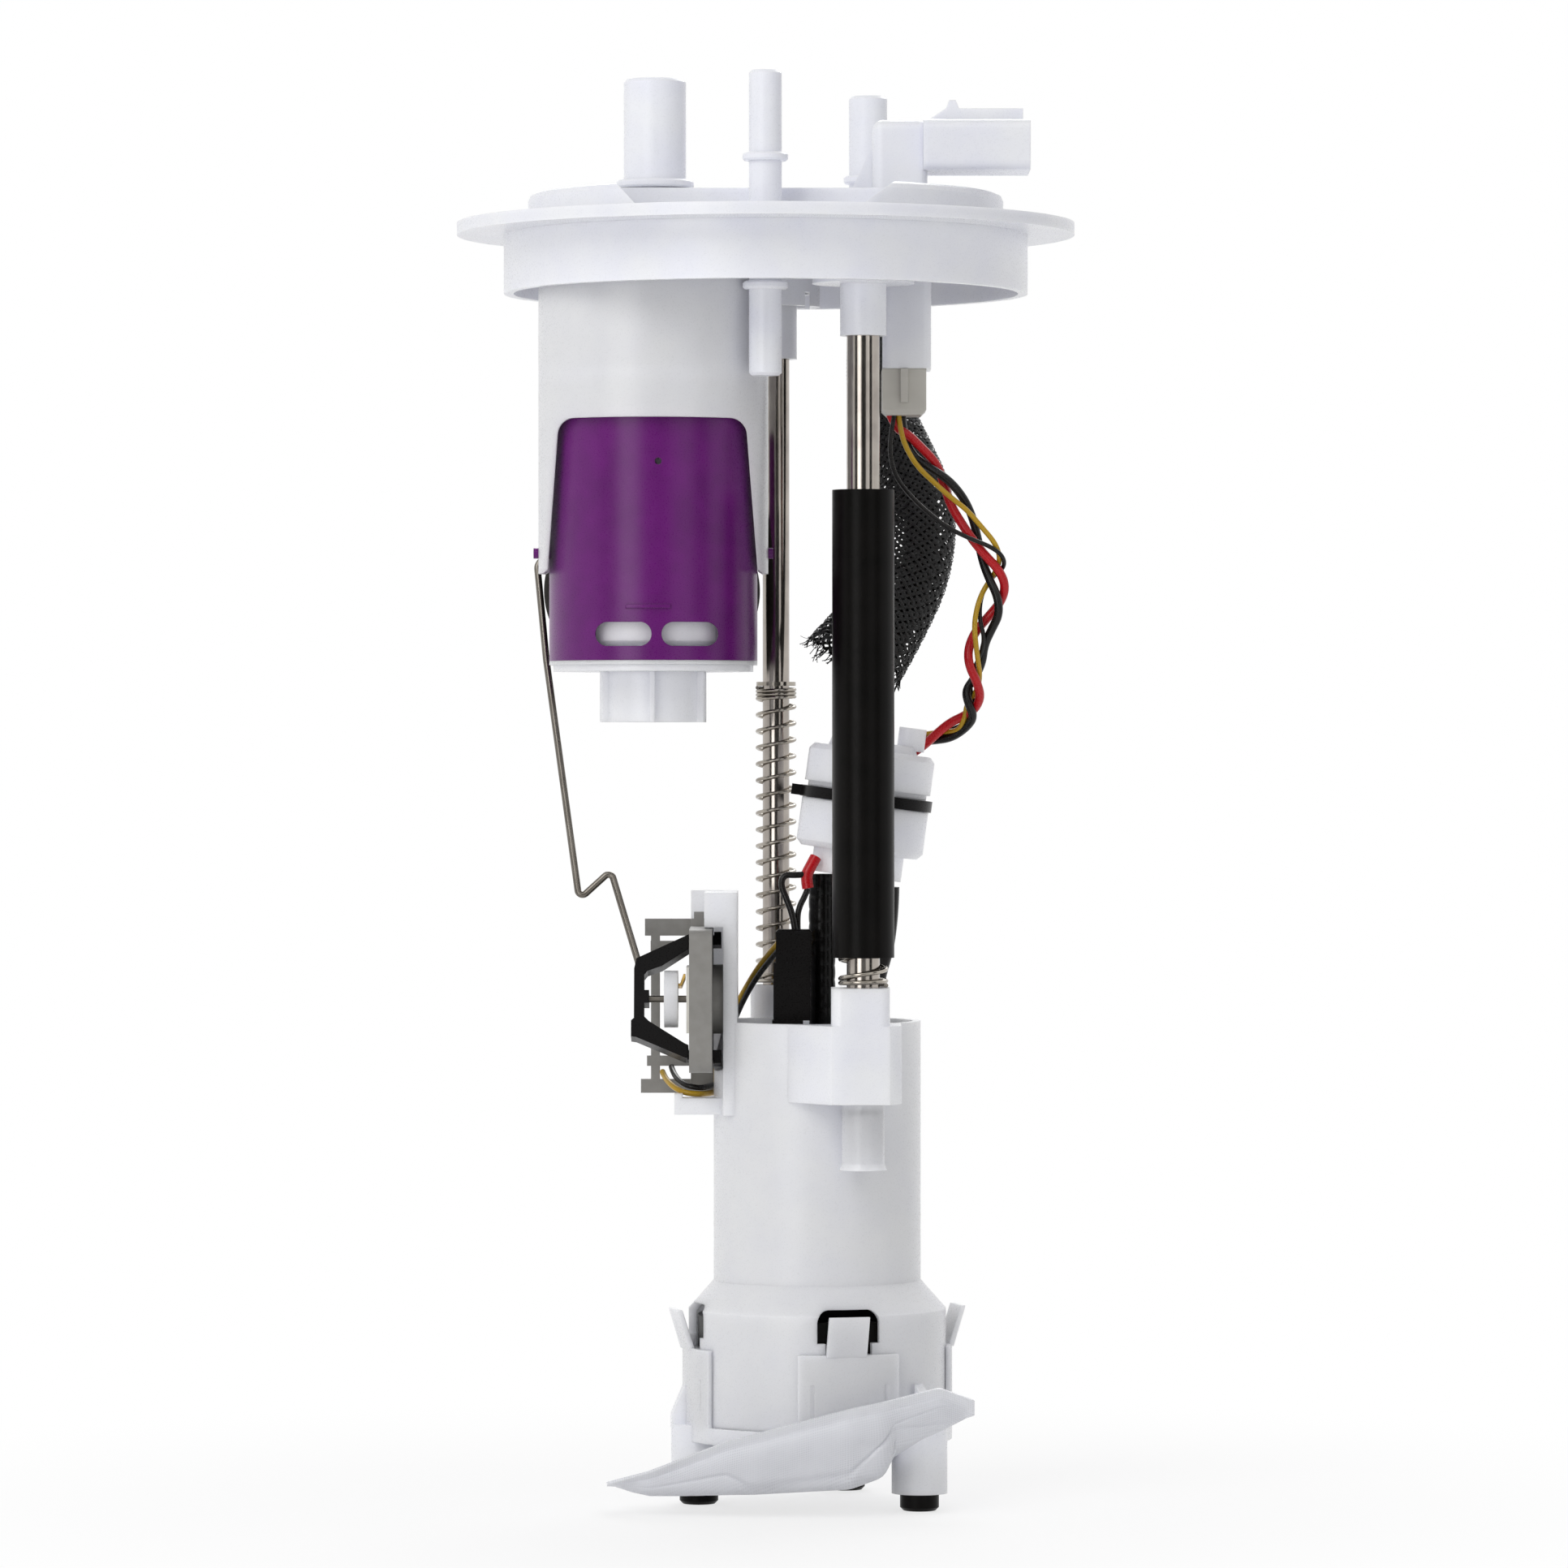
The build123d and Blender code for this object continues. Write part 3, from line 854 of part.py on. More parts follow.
def main():
    """Builds every node and writes it."""
    os.makedirs("parts", exist_ok=True)
    nodes = {}
    terminals = make_terminals()
    nodes.update(make_cover(terminals))
    nodes["connector_terminals"] = terminals
    nodes["harness_plug"] = make_plug()
    nodes["vent_valve_cage"] = make_cage()
    nodes["vent_valve_body"] = make_valve_body()
    nodes["vent_valve_base"] = make_valve_base()
    nodes["vent_valve_float"] = make_valve_float()
    seal_z = (VALVE_NECK_TOP + SPIGOT_BOTTOM) / 2
    seal = Torus((SPIGOT_BORE + VALVE_NECK_RADIUS) / 2, (SPIGOT_BORE - VALVE_NECK_RADIUS) / 2 - RUNNING_FIT)
    nodes["vent_valve_seal"] = Pos(VENT_AXIS[0], VENT_AXIS[1], seal_z) * seal
    nodes["front_guide_rod"] = post(FRONT_ROD, ROD_END, ROD_SEAT, FRONT_ROD_RADIUS)
    nodes["rear_guide_rod"] = post(REAR_ROD, ROD_END, ROD_SEAT, REAR_ROD_RADIUS)
    nodes["rod_clips"] = Compound(children=[
        tube(rod, ROD_END, ROD_END + CLIP_THICK, radius + 0.5, radius + 0.02)
        for rod, radius in ((FRONT_ROD, FRONT_ROD_RADIUS), (REAR_ROD, REAR_ROD_RADIUS))])
    nodes["spring_retainers"] = Compound(children=[
        tube(rod, SPRING_TOP, SPRING_TOP + RETAINER_THICK, radius + 1.6, radius + 0.02)
        for rod, radius in ((FRONT_ROD, FRONT_ROD_RADIUS), (REAR_ROD, REAR_ROD_RADIUS))])
    nodes["front_spring"] = coil(FRONT_ROD, GUIDE_TOP, SPRING_TOP, FRONT_SPRING_RADIUS, FRONT_SPRING_WIRE,
                                 FRONT_SPRING_TURNS)
    nodes["rear_spring"] = coil(REAR_ROD, REAR_GUIDE_TOP, SPRING_TOP, REAR_SPRING_RADIUS, REAR_SPRING_WIRE,
                                REAR_SPRING_TURNS)
    nodes["spring_sleeve"] = tube(FRONT_ROD, SLEEVE_BOTTOM, SLEEVE_TOP, SLEEVE_RADIUS, SLEEVE_RADIUS - SLEEVE_WALL)
    nodes["reservoir"] = make_pot()
    nodes["base_cap"] = make_base_cap()
    nodes["rubber_feet"] = make_feet()
    nodes["strainer_sock"] = make_strainer()
    nodes["strainer_neck"] = tube(STRAINER_NECK, STRAINER_TOP, -287.5, STRAINER_NECK_RADIUS, 4.2)
    nodes.update(make_pump())
    nodes["sender_housing"] = make_sender_housing()
    nodes["sender_carrier"] = make_carrier()
    nodes["float_arm_wire"] = make_arm_wire(WIRE_RADIUS) + make_float_pin()
    nodes["float"] = make_float()
    nodes["pivot_hub"] = make_pivot_hub()
    nodes["wiper_contact"] = make_wiper()
    nodes["resistor_card"] = make_resistor_card()
    nodes["pump_connector"] = make_pump_connector()
    nodes.update(make_regulator())
    nodes["pump_hose"] = corrugated(OUTLET_AXIS, PUMP_CAP_TOP, -157.2, PUMP_HOSE_RADIUS,
                                    OUTLET_RADIUS + PRESS_FIT, PUMP_HOSE_PITCH, PUMP_HOSE_DEPTH)
    nodes["return_hose"] = swept_tube(RETURN_ROUTE, RETURN_RADIUS)
    nodes["supply_hose"] = swept_tube(SUPPLY_ROUTE, HOSE_RADIUS, HOSE_RADIUS - HOSE_WALL)
    nodes["braided_sleeve"] = make_braid()
    nodes["harness_bundle"] = swept_tube(HARNESS_ROUTE, HARNESS_RADIUS)
    nodes["sender_leads"] = Compound(children=parallel_leads(SENDER_LEAD_ROUTE, 2))
    nodes["pump_leads"] = Compound(children=[swept_tube(POWER_LEAD_ROUTE, LEAD_RADIUS + 0.15),
                                             swept_tube(EARTH_LEAD_ROUTE, LEAD_RADIUS + 0.15)])
    nodes["vent_valve_spring"] = coil(VENT_AXIS, VALVE_BOTTOM, -52.0, 5.0, 0.4, 9)
    for name, route, radius, bore in (("supply_hose", SUPPLY_ROUTE, HOSE_RADIUS, HOSE_RADIUS - HOSE_WALL),
                                      ("return_hose", RETURN_ROUTE, RETURN_RADIUS, 0),
                                      ("harness_bundle", HARNESS_ROUTE, HARNESS_RADIUS, 0)):
        print_run(name, nodes[name], route, radius, bore)
    for name, solid in nodes.items():
        write(name, solid)
        print(name, round(solid.volume, 1))


if __name__ == "__main__":
    main()
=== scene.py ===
"""Fuel pump module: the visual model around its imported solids.

Metres, +Z up out of the tank, -Y towards the front, origin at the centre of the cover's sealing face.
Sizes in the classes are millimetres, as in the part's source, and are turned to metres where meshes are made.
"""
import json
import logging
import math
from dataclasses import dataclass, replace
from enum import Enum

import bpy
import numpy as np
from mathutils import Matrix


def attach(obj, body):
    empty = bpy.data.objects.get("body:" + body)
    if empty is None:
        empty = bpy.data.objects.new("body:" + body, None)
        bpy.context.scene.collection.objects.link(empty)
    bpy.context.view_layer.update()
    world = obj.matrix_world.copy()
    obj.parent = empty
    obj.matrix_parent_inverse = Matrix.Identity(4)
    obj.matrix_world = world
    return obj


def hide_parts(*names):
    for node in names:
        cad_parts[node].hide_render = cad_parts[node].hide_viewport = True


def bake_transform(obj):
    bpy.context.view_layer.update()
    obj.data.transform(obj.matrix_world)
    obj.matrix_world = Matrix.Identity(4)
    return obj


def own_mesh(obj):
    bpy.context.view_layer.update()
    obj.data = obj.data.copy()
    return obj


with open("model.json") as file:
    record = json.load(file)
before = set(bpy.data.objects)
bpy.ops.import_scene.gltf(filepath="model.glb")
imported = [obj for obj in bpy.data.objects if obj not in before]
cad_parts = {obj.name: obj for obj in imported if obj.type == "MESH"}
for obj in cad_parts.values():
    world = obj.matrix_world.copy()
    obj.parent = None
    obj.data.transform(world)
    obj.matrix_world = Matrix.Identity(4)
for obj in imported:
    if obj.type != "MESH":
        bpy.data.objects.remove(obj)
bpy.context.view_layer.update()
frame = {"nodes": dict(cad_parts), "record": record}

MM = 0.001
log = logging.getLogger("pump_module")


class Surface(Enum):
    """How a surface was made, which settles its pattern."""

    MOULDED = "moulded"
    DRAWN = "drawn"
    ROLLED = "rolled"
    RUBBER = "rubber"
    FOAM = "foam"
    MESH = "mesh"
    STRAND = "strand"


def linear(colour: str) -> tuple[float, float, float, float]:
    """Linear colour of an sRGB hex value.

    Args:
        colour: Six hex digits after a hash.

    Returns:
        Red, green, blue and alpha: c / 12.92 below 0.04045, else ((c + 0.055) / 1.055) ** 2.4.
    """
    parts = np.array([int(colour[i:i + 2], 16) / 255 for i in (1, 3, 5)])
    bent = np.where(parts <= 0.04045, parts / 12.92, ((parts + 0.055) / 1.055) ** 2.4)
    return (*bent.tolist(), 1.0)


def add_node(tree: bpy.types.NodeTree, kind: str, inputs: dict | None = None,
             **settings: object) -> bpy.types.Node:
    """Adds one node with its settings, values and links.

    Args:
        tree: The material's tree.
        kind: The node's type, without the word ShaderNode.
        inputs: Socket name or number to a value, or to the node or output socket that feeds it.
        **settings: Properties of the node.

    Returns:
        The new node.
    """
    node = tree.nodes.new("ShaderNode" + kind)
    for key, value in settings.items():
        setattr(node, key, value)
    for key, value in (inputs or {}).items():
        if isinstance(value, bpy.types.Node):
            value = value.outputs[0]
        if isinstance(value, bpy.types.NodeSocket):
            tree.links.new(value, node.inputs[key])
        else:
            node.inputs[key].default_value = value
    return node


# Share of the roughness by which the grain raises and lowers it.
ROUGHNESS_SPREAD = 0.22
# The grain of drawn and of rolled metal is long in the direction of the work.
GRAIN_STRETCH = {Surface.DRAWN: (1.0, 1.0, 0.02), Surface.ROLLED: (1.0, 1.0, 0.12)}
# A wave pattern of scale k comes back every 2 pi / (20 k) metres.
WAVE_TURN = 2 * math.pi / 20
# Rays with which the look of a rounded edge is found.
EDGE_SAMPLES = 4


@dataclass(frozen=True)
class Finish:
    """One material: what it is, its colours and the size of its pattern.

    The shade is a second colour, in soft clouds of cloud_mm. The grain is the fine pattern, and relief_mm its
    height. Edges look rounded to edge_mm. The glow is the share of the light that goes glow_mm deep into the
    material, and the level is the strength of the plain reflection.
    """

    name: str
    slot: str
    surface: Surface
    colour: str
    shade: str
    roughness: float
    metallic: float = 0.0
    ior: float | None = 1.5
    grain_mm: float = 0.35
    relief_mm: float = 0.012
    cloud_mm: float = 7.0
    edge_mm: float = 0.35
    glow: float = 0.0
    glow_mm: float = 1.5
    level: float = 0.5

    def build(self) -> bpy.types.Material:
        """Makes the material once.

        Returns:
            The material, or the one of that name that is there already.
        """
        known = bpy.data.materials.get(self.name)
        if known:
            return known
        material = bpy.data.materials.new(self.name)
        material.use_nodes = True
        tree = material.node_tree
        tree.nodes.clear()
        height, grain, cloud = self.pattern(tree)
        spread = ROUGHNESS_SPREAD * self.roughness
        rough = add_node(tree, "MapRange",
                         {"Value": grain, "From Min": 0.25, "From Max": 0.75,
                          "To Min": self.roughness - spread, "To Max": min(1.0, self.roughness + spread)})
        colour = add_node(tree, "Mix", {0: cloud, 6: linear(self.colour), 7: linear(self.shade)},
                          data_type="RGBA").outputs[2]
        relief = {"Height": height, "Strength": 1.0, "Distance": self.relief_mm * MM}
        if self.edge_mm:
            relief["Normal"] = add_node(tree, "Bevel", {"Radius": self.edge_mm * MM}, samples=EDGE_SAMPLES)
        values = {"Base Color": colour, "Roughness": rough, "Normal": add_node(tree, "Bump", relief),
                  "Metallic": self.metallic, "Specular IOR Level": self.level}
        if self.ior:
            values["IOR"] = self.ior
        if self.glow:
            values["Subsurface Weight"] = self.glow
            values["Subsurface Scale"] = self.glow_mm * MM
            values["Subsurface Radius"] = (1.0, 1.0, 1.0)
        add_node(tree, "OutputMaterial", {0: add_node(tree, "BsdfPrincipled", values)})
        return material

    def pattern(self, tree: bpy.types.NodeTree) -> tuple:
        """Adds the pattern's nodes.

        Args:
            tree: The material's tree.

        Returns:
            Nodes or sockets of the height, of the fine grain from 0 to 1, and of the share of shade.
        """
        threads = self.surface in (Surface.MESH, Surface.STRAND)
        place = add_node(tree, "TexCoord").outputs["UV" if threads else "Object"]
        stretch = GRAIN_STRETCH.get(self.surface, (1.0, 1.0, 1.0))
        moved = add_node(tree, "Mapping", {"Vector": place, "Scale": stretch})
        grain = add_node(tree, "TexNoise", {"Vector": moved, "Scale": 1 / (self.grain_mm * MM),
                                            "Detail": 3.0, "Roughness": 0.55})
        drift = add_node(tree, "TexNoise", {"Vector": place, "Scale": 1 / (self.cloud_mm * MM),
                                            "Detail": 2.0})
        cloud = add_node(tree, "MapRange", {"Value": drift, "From Min": 0.3, "From Max": 0.7})
        # Foam: the pits take the darker colour and the walls between them the lighter, painted shade in the
        # pits.
        if self.surface is Surface.FOAM:
            pits = add_node(tree, "TexVoronoi", {"Vector": place, "Scale": 1 / (self.grain_mm * 2 * MM)})
            shown = add_node(tree, "MapRange", {"Value": pits.outputs["Distance"], "From Max": 0.45})
            open_pits = add_node(tree, "Math", {0: shown, 1: grain}, operation="MULTIPLY")
            return open_pits, grain, open_pits
        if not threads:
            return grain, grain, cloud
        waves = [add_node(tree, "TexWave", {"Vector": place, "Scale": WAVE_TURN / (self.grain_mm * MM)},
                          wave_type="BANDS", bands_direction=way).outputs["Fac"] for way in ("X", "Y")]
        # Strands: the grooves between threads take the darker colour, painted shade between the threads.
        if self.surface is Surface.STRAND:
            return waves[0], grain, add_node(tree, "Math", {0: 1.0, 1: waves[0]}, operation="SUBTRACT")
        # Cloth: the gaps of the weave take the darker colour in the clouds, painted shade in the gaps.
        woven = add_node(tree, "Math", {0: waves[0], 1: waves[1]}, operation="MAXIMUM")
        gap = add_node(tree, "MapRange", {"Value": woven, "From Min": 0.2, "From Max": 0.9,
                                          "To Min": 1.0, "To Max": 0.0})
        return woven, grain, add_node(tree, "Math", {0: gap, 1: cloud}, operation="MULTIPLY")


# Acetal, injection moulded: a cool, slightly see-through white with a soft sheen.
WHITE_ACETAL = Finish("acetal_moulded_white", "white_moulding", Surface.MOULDED, "#F2F3F9", "#EDEEF6", 0.3,
                      cloud_mm=11.0, glow=0.85, glow_mm=5.0)
# The same with a violet dye, which hides the depth and leaves the sheen.
VIOLET_ACETAL = Finish("acetal_moulded_violet", "violet_moulding", Surface.MOULDED, "#66116F", "#5C0F65",
                       0.3, level=0.32)
# Glass-filled nylon, moulded: matt with fine fibre speckle.
GREY_NYLON = Finish("nylon_moulded_grey", "grey_moulding", Surface.MOULDED, "#8B8985", "#83817D", 0.45,
                    relief_mm=0.02, cloud_mm=2.5)
# Nylon, moulded without much dye: pale, warm and a little see-through.
PLUG_NYLON = Finish("nylon_moulded_pale_grey", "plug_moulding", Surface.MOULDED, "#C9C6BE", "#C1BEB6", 0.42,
                    glow=0.3, glow_mm=2.0)
# Nylon with carbon black, moulded: dark, with a faint sheen on its edges.
BLACK_NYLON = Finish("nylon_moulded_black", "black_moulding", Surface.MOULDED, "#0B0A0A", "#121010", 0.3,
                     ior=1.4, relief_mm=0.015, level=0.16)
# Nitrile rubber, extruded or moulded: deep black with a soft sheen and a fine grain.
BLACK_RUBBER = Finish("nitrile_rubber_black", "black_rubber", Surface.RUBBER, "#080706", "#0E0C0B", 0.34,
                      ior=1.4, relief_mm=0.015, level=0.12)
# Nylon tube, extruded: smooth, with one long soft highlight.
HOSE_NYLON = Finish("nylon_hose_black", "black_hose", Surface.MOULDED, "#0A0909", "#100F0E", 0.24, ior=1.4,
                    edge_mm=0.0, level=0.22)
# Closed-cell nitrile foam, sawn: rough with small open pits.
BLACK_FOAM = Finish("nitrile_foam_black", "black_foam", Surface.FOAM, "#181514", "#2C2926", 0.85,
                    grain_mm=0.45, relief_mm=0.12, edge_mm=0.0, level=0.3)
# Ground bar: lines along its length stretch the highlight.
GROUND_STEEL = Finish("steel_ground_bar", "bright_steel", Surface.DRAWN, "#AEA79F", "#97908A", 0.16,
                      metallic=1.0, ior=None, grain_mm=0.3, relief_mm=0.004)
# Spring wire, cold drawn and coiled: bright, with fine lines.
SPRING_WIRE = Finish("steel_spring_wire", "spring_steel", Surface.ROLLED, "#B3ADA4", "#8C857B", 0.2,
                     metallic=1.0, ior=None, grain_mm=0.3, relief_mm=0.004, edge_mm=0.0)
# Drawn wire, plated and bent: greyer than the springs and smooth.
ARM_WIRE = Finish("steel_drawn_wire", "spring_steel", Surface.DRAWN, "#7B766F", "#6E6962", 0.28,
                  metallic=1.0, ior=None, grain_mm=2.0, relief_mm=0.001, edge_mm=0.0)
# Tinned steel sheet, rolled: bright and grey, with a faint grain one way.
TINNED_SHEET = Finish("steel_tinned_sheet", "can_steel", Surface.ROLLED, "#C6C7C8", "#B2B3B5", 0.28,
                      metallic=1.0, ior=None, relief_mm=0.004)
# Pump's can in dull black, as painted shade: it makes the pot's front window read dark.
BLACK_SHADE_CAN = Finish("steel_black_window_shade", "can_steel", Surface.RUBBER, "#080706", "#0E0C0B", 0.5, ior=1.4,
                    level=0.1)
# Armature stampings: dark, dull grey.
STAMPED_IRON = Finish("iron_laminations", "iron", Surface.ROLLED, "#6E6A66", "#57534F", 0.5, metallic=1.0,
                      ior=None)
# Magnet ferrite, pressed and sintered: dull charcoal.
FERRITE = Finish("ferrite_sintered", "ferrite", Surface.RUBBER, "#3A393A", "#2E2D2E", 0.7)
# Brass, stamped: yellow, with the strip's rolling lines.
BRASS = Finish("brass_stamped", "brass", Surface.ROLLED, "#D2B06A", "#B8954F", 0.3, metallic=1.0, ior=None)
# Alumina, fired: off-white and smooth.
CERAMIC = Finish("alumina_ceramic", "ceramic", Surface.MOULDED, "#E8E6DF", "#DBD8CF", 0.35)
# Woven nylon filter cloth. Real threads are about 0.1 mm apart, drawn at 0.55 mm so that they show.
FILTER_CLOTH = Finish("nylon_filter_cloth", "filter_mesh", Surface.MESH, "#DBDCE1", "#CBCCD2", 0.42,
                      grain_mm=0.55, relief_mm=0.03, cloud_mm=9.0, edge_mm=0.0, glow=0.5, glow_mm=3.0)
# Polyester monofilament, braided: each band is a few parallel threads of 0.28 mm.
BRAID_STRAND = Finish("polyester_braid_black", "braid", Surface.STRAND, "#151414", "#060606", 0.3,
                      grain_mm=0.28, relief_mm=0.08, edge_mm=0.0)
# Lead insulation: extruded, so it is smooth and shiny.
RED_LEAD = Finish("lead_insulation_red", "harness_leads", Surface.MOULDED, "#C2161F", "#B2121B", 0.28,
                  edge_mm=0.0, level=0.35)
BLACK_LEAD = Finish("lead_insulation_black", "harness_leads", Surface.MOULDED, "#12100F", "#1B1918", 0.28,
                    ior=1.4, edge_mm=0.0, level=0.4)
YELLOW_LEAD = Finish("lead_insulation_yellow", "harness_leads", Surface.MOULDED, "#C19A22", "#B48E1D", 0.3,
                     edge_mm=0.0, level=0.35)

SLOT_FINISHES = {finish.slot: finish for finish in (
    WHITE_ACETAL, VIOLET_ACETAL, GREY_NYLON, PLUG_NYLON, BLACK_NYLON, BLACK_RUBBER, HOSE_NYLON, BLACK_FOAM,
    GROUND_STEEL, SPRING_WIRE, TINNED_SHEET, STAMPED_IRON, FERRITE, BRASS, CERAMIC, FILTER_CLOTH,
    BRAID_STRAND, BLACK_LEAD)}

# The cover is one moulding in four nodes. With softer edges, or light that goes deeper, the joint between its
# two halves would show.
COVER_ACETAL = replace(WHITE_ACETAL, name="acetal_moulded_white_cover", glow_mm=0.8)
JOINED_ACETAL = replace(COVER_ACETAL, name="acetal_moulded_white_joined", edge_mm=0.06)

# Nodes whose finish differs from the rest of their slot.
# pump_can takes the black can, painted shade for the pot's front window.
NODE_FINISHES = {"float_arm_wire": ARM_WIRE, "pump_can": BLACK_SHADE_CAN, "vent_port": COVER_ACETAL,
                 "connector_housing": COVER_ACETAL, "tank_cover": JOINED_ACETAL,
                 "cover_flange": JOINED_ACETAL}

# Points on a smooth line for each point of its route.
LINE_STEPS = 16
# A path that starts this close to the Y direction takes its first side from X.
CLOSE_TO_Y = 0.2


def grid_faces(rows: int, columns: int, closed: bool) -> list[tuple[int, ...]]:
    """Four-sided faces of a grid of points, row by row.

    Args:
        rows: Number of rows.
        columns: Points in a row.
        closed: Whether the last column joins the first.

    Returns:
        Faces (i, j), (i, j + 1), (i + 1, j + 1), (i + 1, j).
    """
    across = columns if closed else columns - 1
    i, j = np.meshgrid(np.arange(rows - 1), np.arange(across), indexing="ij")
    after = (j + 1) % columns
    quads = np.stack([i * columns + j, i * columns + after, (i + 1) * columns + after,
                      (i + 1) * columns + j], -1)
    return [tuple(q) for q in quads.reshape(-1, 4).tolist()]


def cap_faces(rows: int, columns: int) -> list[tuple[int, ...]]:
    """One many-sided face at each end of a closed grid."""
    last = (rows - 1) * columns
    return [tuple(range(columns - 1, -1, -1)), tuple(range(last, last + columns))]


def make_mesh(name: str, points: np.ndarray, faces: list, finish: Finish, uv: np.ndarray | None = None,
              sharp: float = 40.0) -> bpy.types.Object:
    """Puts worked-out points into a mesh object at the origin.

    Args:
        name: The piece's name.
        points: Points in metres, one row each.
        faces: Rows of point numbers.
        finish: What it is made of.
        uv: For each point, distances across and along the surface in metres.
        sharp: Angle in degrees above which an edge shows as an edge.

    Returns:
        The object, linked to the scene.
    """
    mesh = bpy.data.meshes.new(name)
    mesh.from_pydata(points.reshape(-1, 3).tolist(), [], faces)
    if uv is not None:
        corners = np.empty(len(mesh.loops), int)
        mesh.loops.foreach_get("vertex_index", corners)
        mesh.uv_layers.new(name="UVMap").data.foreach_set("uv", uv.reshape(-1, 2)[corners].ravel())
    mesh.polygons.foreach_set("use_smooth", np.ones(len(mesh.polygons), bool))
    mesh.set_sharp_from_angle(angle=math.radians(sharp))
    mesh.materials.append(finish.build())
    piece = bpy.data.objects.new(name, mesh)
    bpy.context.scene.collection.objects.link(piece)
    log.info("%s: %d faces, %s", name, len(faces), finish.name)
    return piece


def transport(path: np.ndarray) -> tuple[np.ndarray, np.ndarray]:
    """Two directions across a path that do not twist along it.

    Args:
        path: Points of the path.

    Returns:
        Side and up at each point: side is the last side less its part along the new tangent, and up is
        tangent x side.
    """
    tangent = np.gradient(path, axis=0)
    tangent /= np.linalg.norm(tangent, axis=1, keepdims=True)
    side = np.empty_like(path)
    last = np.cross(tangent[0], (0.0, 1.0, 0.0))
    if np.linalg.norm(last) < CLOSE_TO_Y:
        last = np.cross(tangent[0], (1.0, 0.0, 0.0))
    for i, along in enumerate(tangent):
        last = last - along * (last @ along)
        last = last / np.linalg.norm(last)
        side[i] = last
    return side, np.cross(tangent, side)


def ring(radius: float, sides: int) -> np.ndarray:
    """Circle of points, (r cos a, r sin a)."""
    angle = np.arange(sides) * 2 * math.pi / sides
    return radius * np.stack([np.cos(angle), np.sin(angle)], -1)


def lengths(path: np.ndarray) -> np.ndarray:
    """Distance from the start to each point of a path."""
    steps = np.linalg.norm(np.diff(path, axis=0), axis=1)
    return np.concatenate([[0.0], np.cumsum(steps)])


def make_tube(name: str, path: np.ndarray, radius: float, finish: Finish, sides: int) -> bpy.types.Object:
    """Closed round tube along a path.

    Args:
        name: The piece's name.
        path: Its middle line in metres.
        radius: Its outside radius in metres.
        finish: What it is made of.
        sides: Points round it.

    Returns:
        The piece: a circle's points (a, b) carried along the path as p + a side + b up.
    """
    side, up = transport(path)
    circle = ring(radius, sides)
    points = path[:, None] + circle[:, :1] * side[:, None] + circle[:, 1:] * up[:, None]
    faces = grid_faces(len(path), sides, True) + cap_faces(len(path), sides)
    across = np.arange(sides) * 2 * math.pi * radius / sides
    uv = np.stack(np.broadcast_arrays(across[None, :], lengths(path)[:, None]), -1)
    return make_mesh(name, points, faces, finish, uv)


def smooth_line(route: tuple) -> np.ndarray:
    """Points on the smooth spline that has a route's points as its control points.

    Args:
        route: Points in millimetres.

    Returns:
        Points in metres on the quadratic NURBS curve, all weights 1.
    """
    curve = bpy.data.curves.new("route", "CURVE")
    curve.dimensions = "3D"
    curve.resolution_u = LINE_STEPS
    spline = curve.splines.new("NURBS")
    spline.points.add(len(route) - 1)
    weighted = np.column_stack([np.array(route) * MM, np.ones(len(route))])
    spline.points.foreach_set("co", weighted.ravel())
    spline.order_u = 3
    spline.use_endpoint_u = True
    holder = bpy.data.objects.new("route", curve)
    mesh = bpy.data.meshes.new_from_object(holder)
    found = np.empty(len(mesh.vertices) * 3)
    mesh.vertices.foreach_get("co", found)
    bpy.data.objects.remove(holder)
    bpy.data.meshes.remove(mesh)
    bpy.data.curves.remove(curve)
    return found.reshape(-1, 3)


def revolve(name: str, profile: list, at: tuple, finish: Finish, sides: int) -> bpy.types.Object:
    """Surface of revolution of a closed profile about an upright axis.

    Args:
        name: The piece's name.
        profile: (radius, height) points in millimetres, from the bottom outside upwards.
        at: The axis in X and Y.
        finish: What it is made of.
        sides: Points round it.

    Returns:
        The piece: x = r cos a, y = r sin a, z = h.
    """
    rows = np.array(profile) * MM
    angle = np.arange(sides) * 2 * math.pi / sides
    points = np.stack(np.broadcast_arrays(rows[:, :1] * np.cos(angle) + at[0] * MM,
                                          rows[:, :1] * np.sin(angle) + at[1] * MM, rows[:, 1:]), -1)
    count = len(rows) * sides
    faces = [tuple(k % count for k in face) for face in grid_faces(len(rows) + 1, sides, True)]
    return make_mesh(name, points, faces, finish)


@dataclass
class CoilSpring:
    """Compression spring with closed ends round a guide rod.

    The radius runs to the middle of the wire, and wire is half of its thickness. closed_top and closed_low
    count the turns that touch at each end. travel, how far the reservoir closes the spring, is not used.
    """

    name: str
    node: str
    at: tuple[float, float]
    low: float
    high: float
    radius: float
    wire: float
    turns: float
    closed_top: float
    closed_low: float = 1.5
    travel: float = 36.0
    steps: int = 40
    sides: int = 10

    def build(self) -> None:
        """Height rises by one wire a turn in the closed ends and evenly between; x, y = r cos a, r sin a."""
        wire = self.wire
        ends = self.closed_low + self.closed_top
        span = self.high - self.low - 2 * wire
        pitch = (span - 2 * wire * ends) / (self.turns - ends)
        knots = [0, self.closed_low, self.turns - self.closed_top, self.turns]
        first = 2 * wire * self.closed_low
        heights = [0, first, first + pitch * (self.turns - ends), span]
        turn = np.linspace(0, self.turns, int(self.turns * self.steps))
        rise = np.interp(turn, knots, heights)
        angle = turn * 2 * math.pi
        path = np.stack([self.at[0] + self.radius * np.cos(angle), self.at[1] + self.radius * np.sin(angle),
                         self.low + wire + rise], -1) * MM
        piece = make_tube(self.name, path, wire * MM, SPRING_WIRE, self.sides)
        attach(piece, "cover")
        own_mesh(piece)
        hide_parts(self.node)


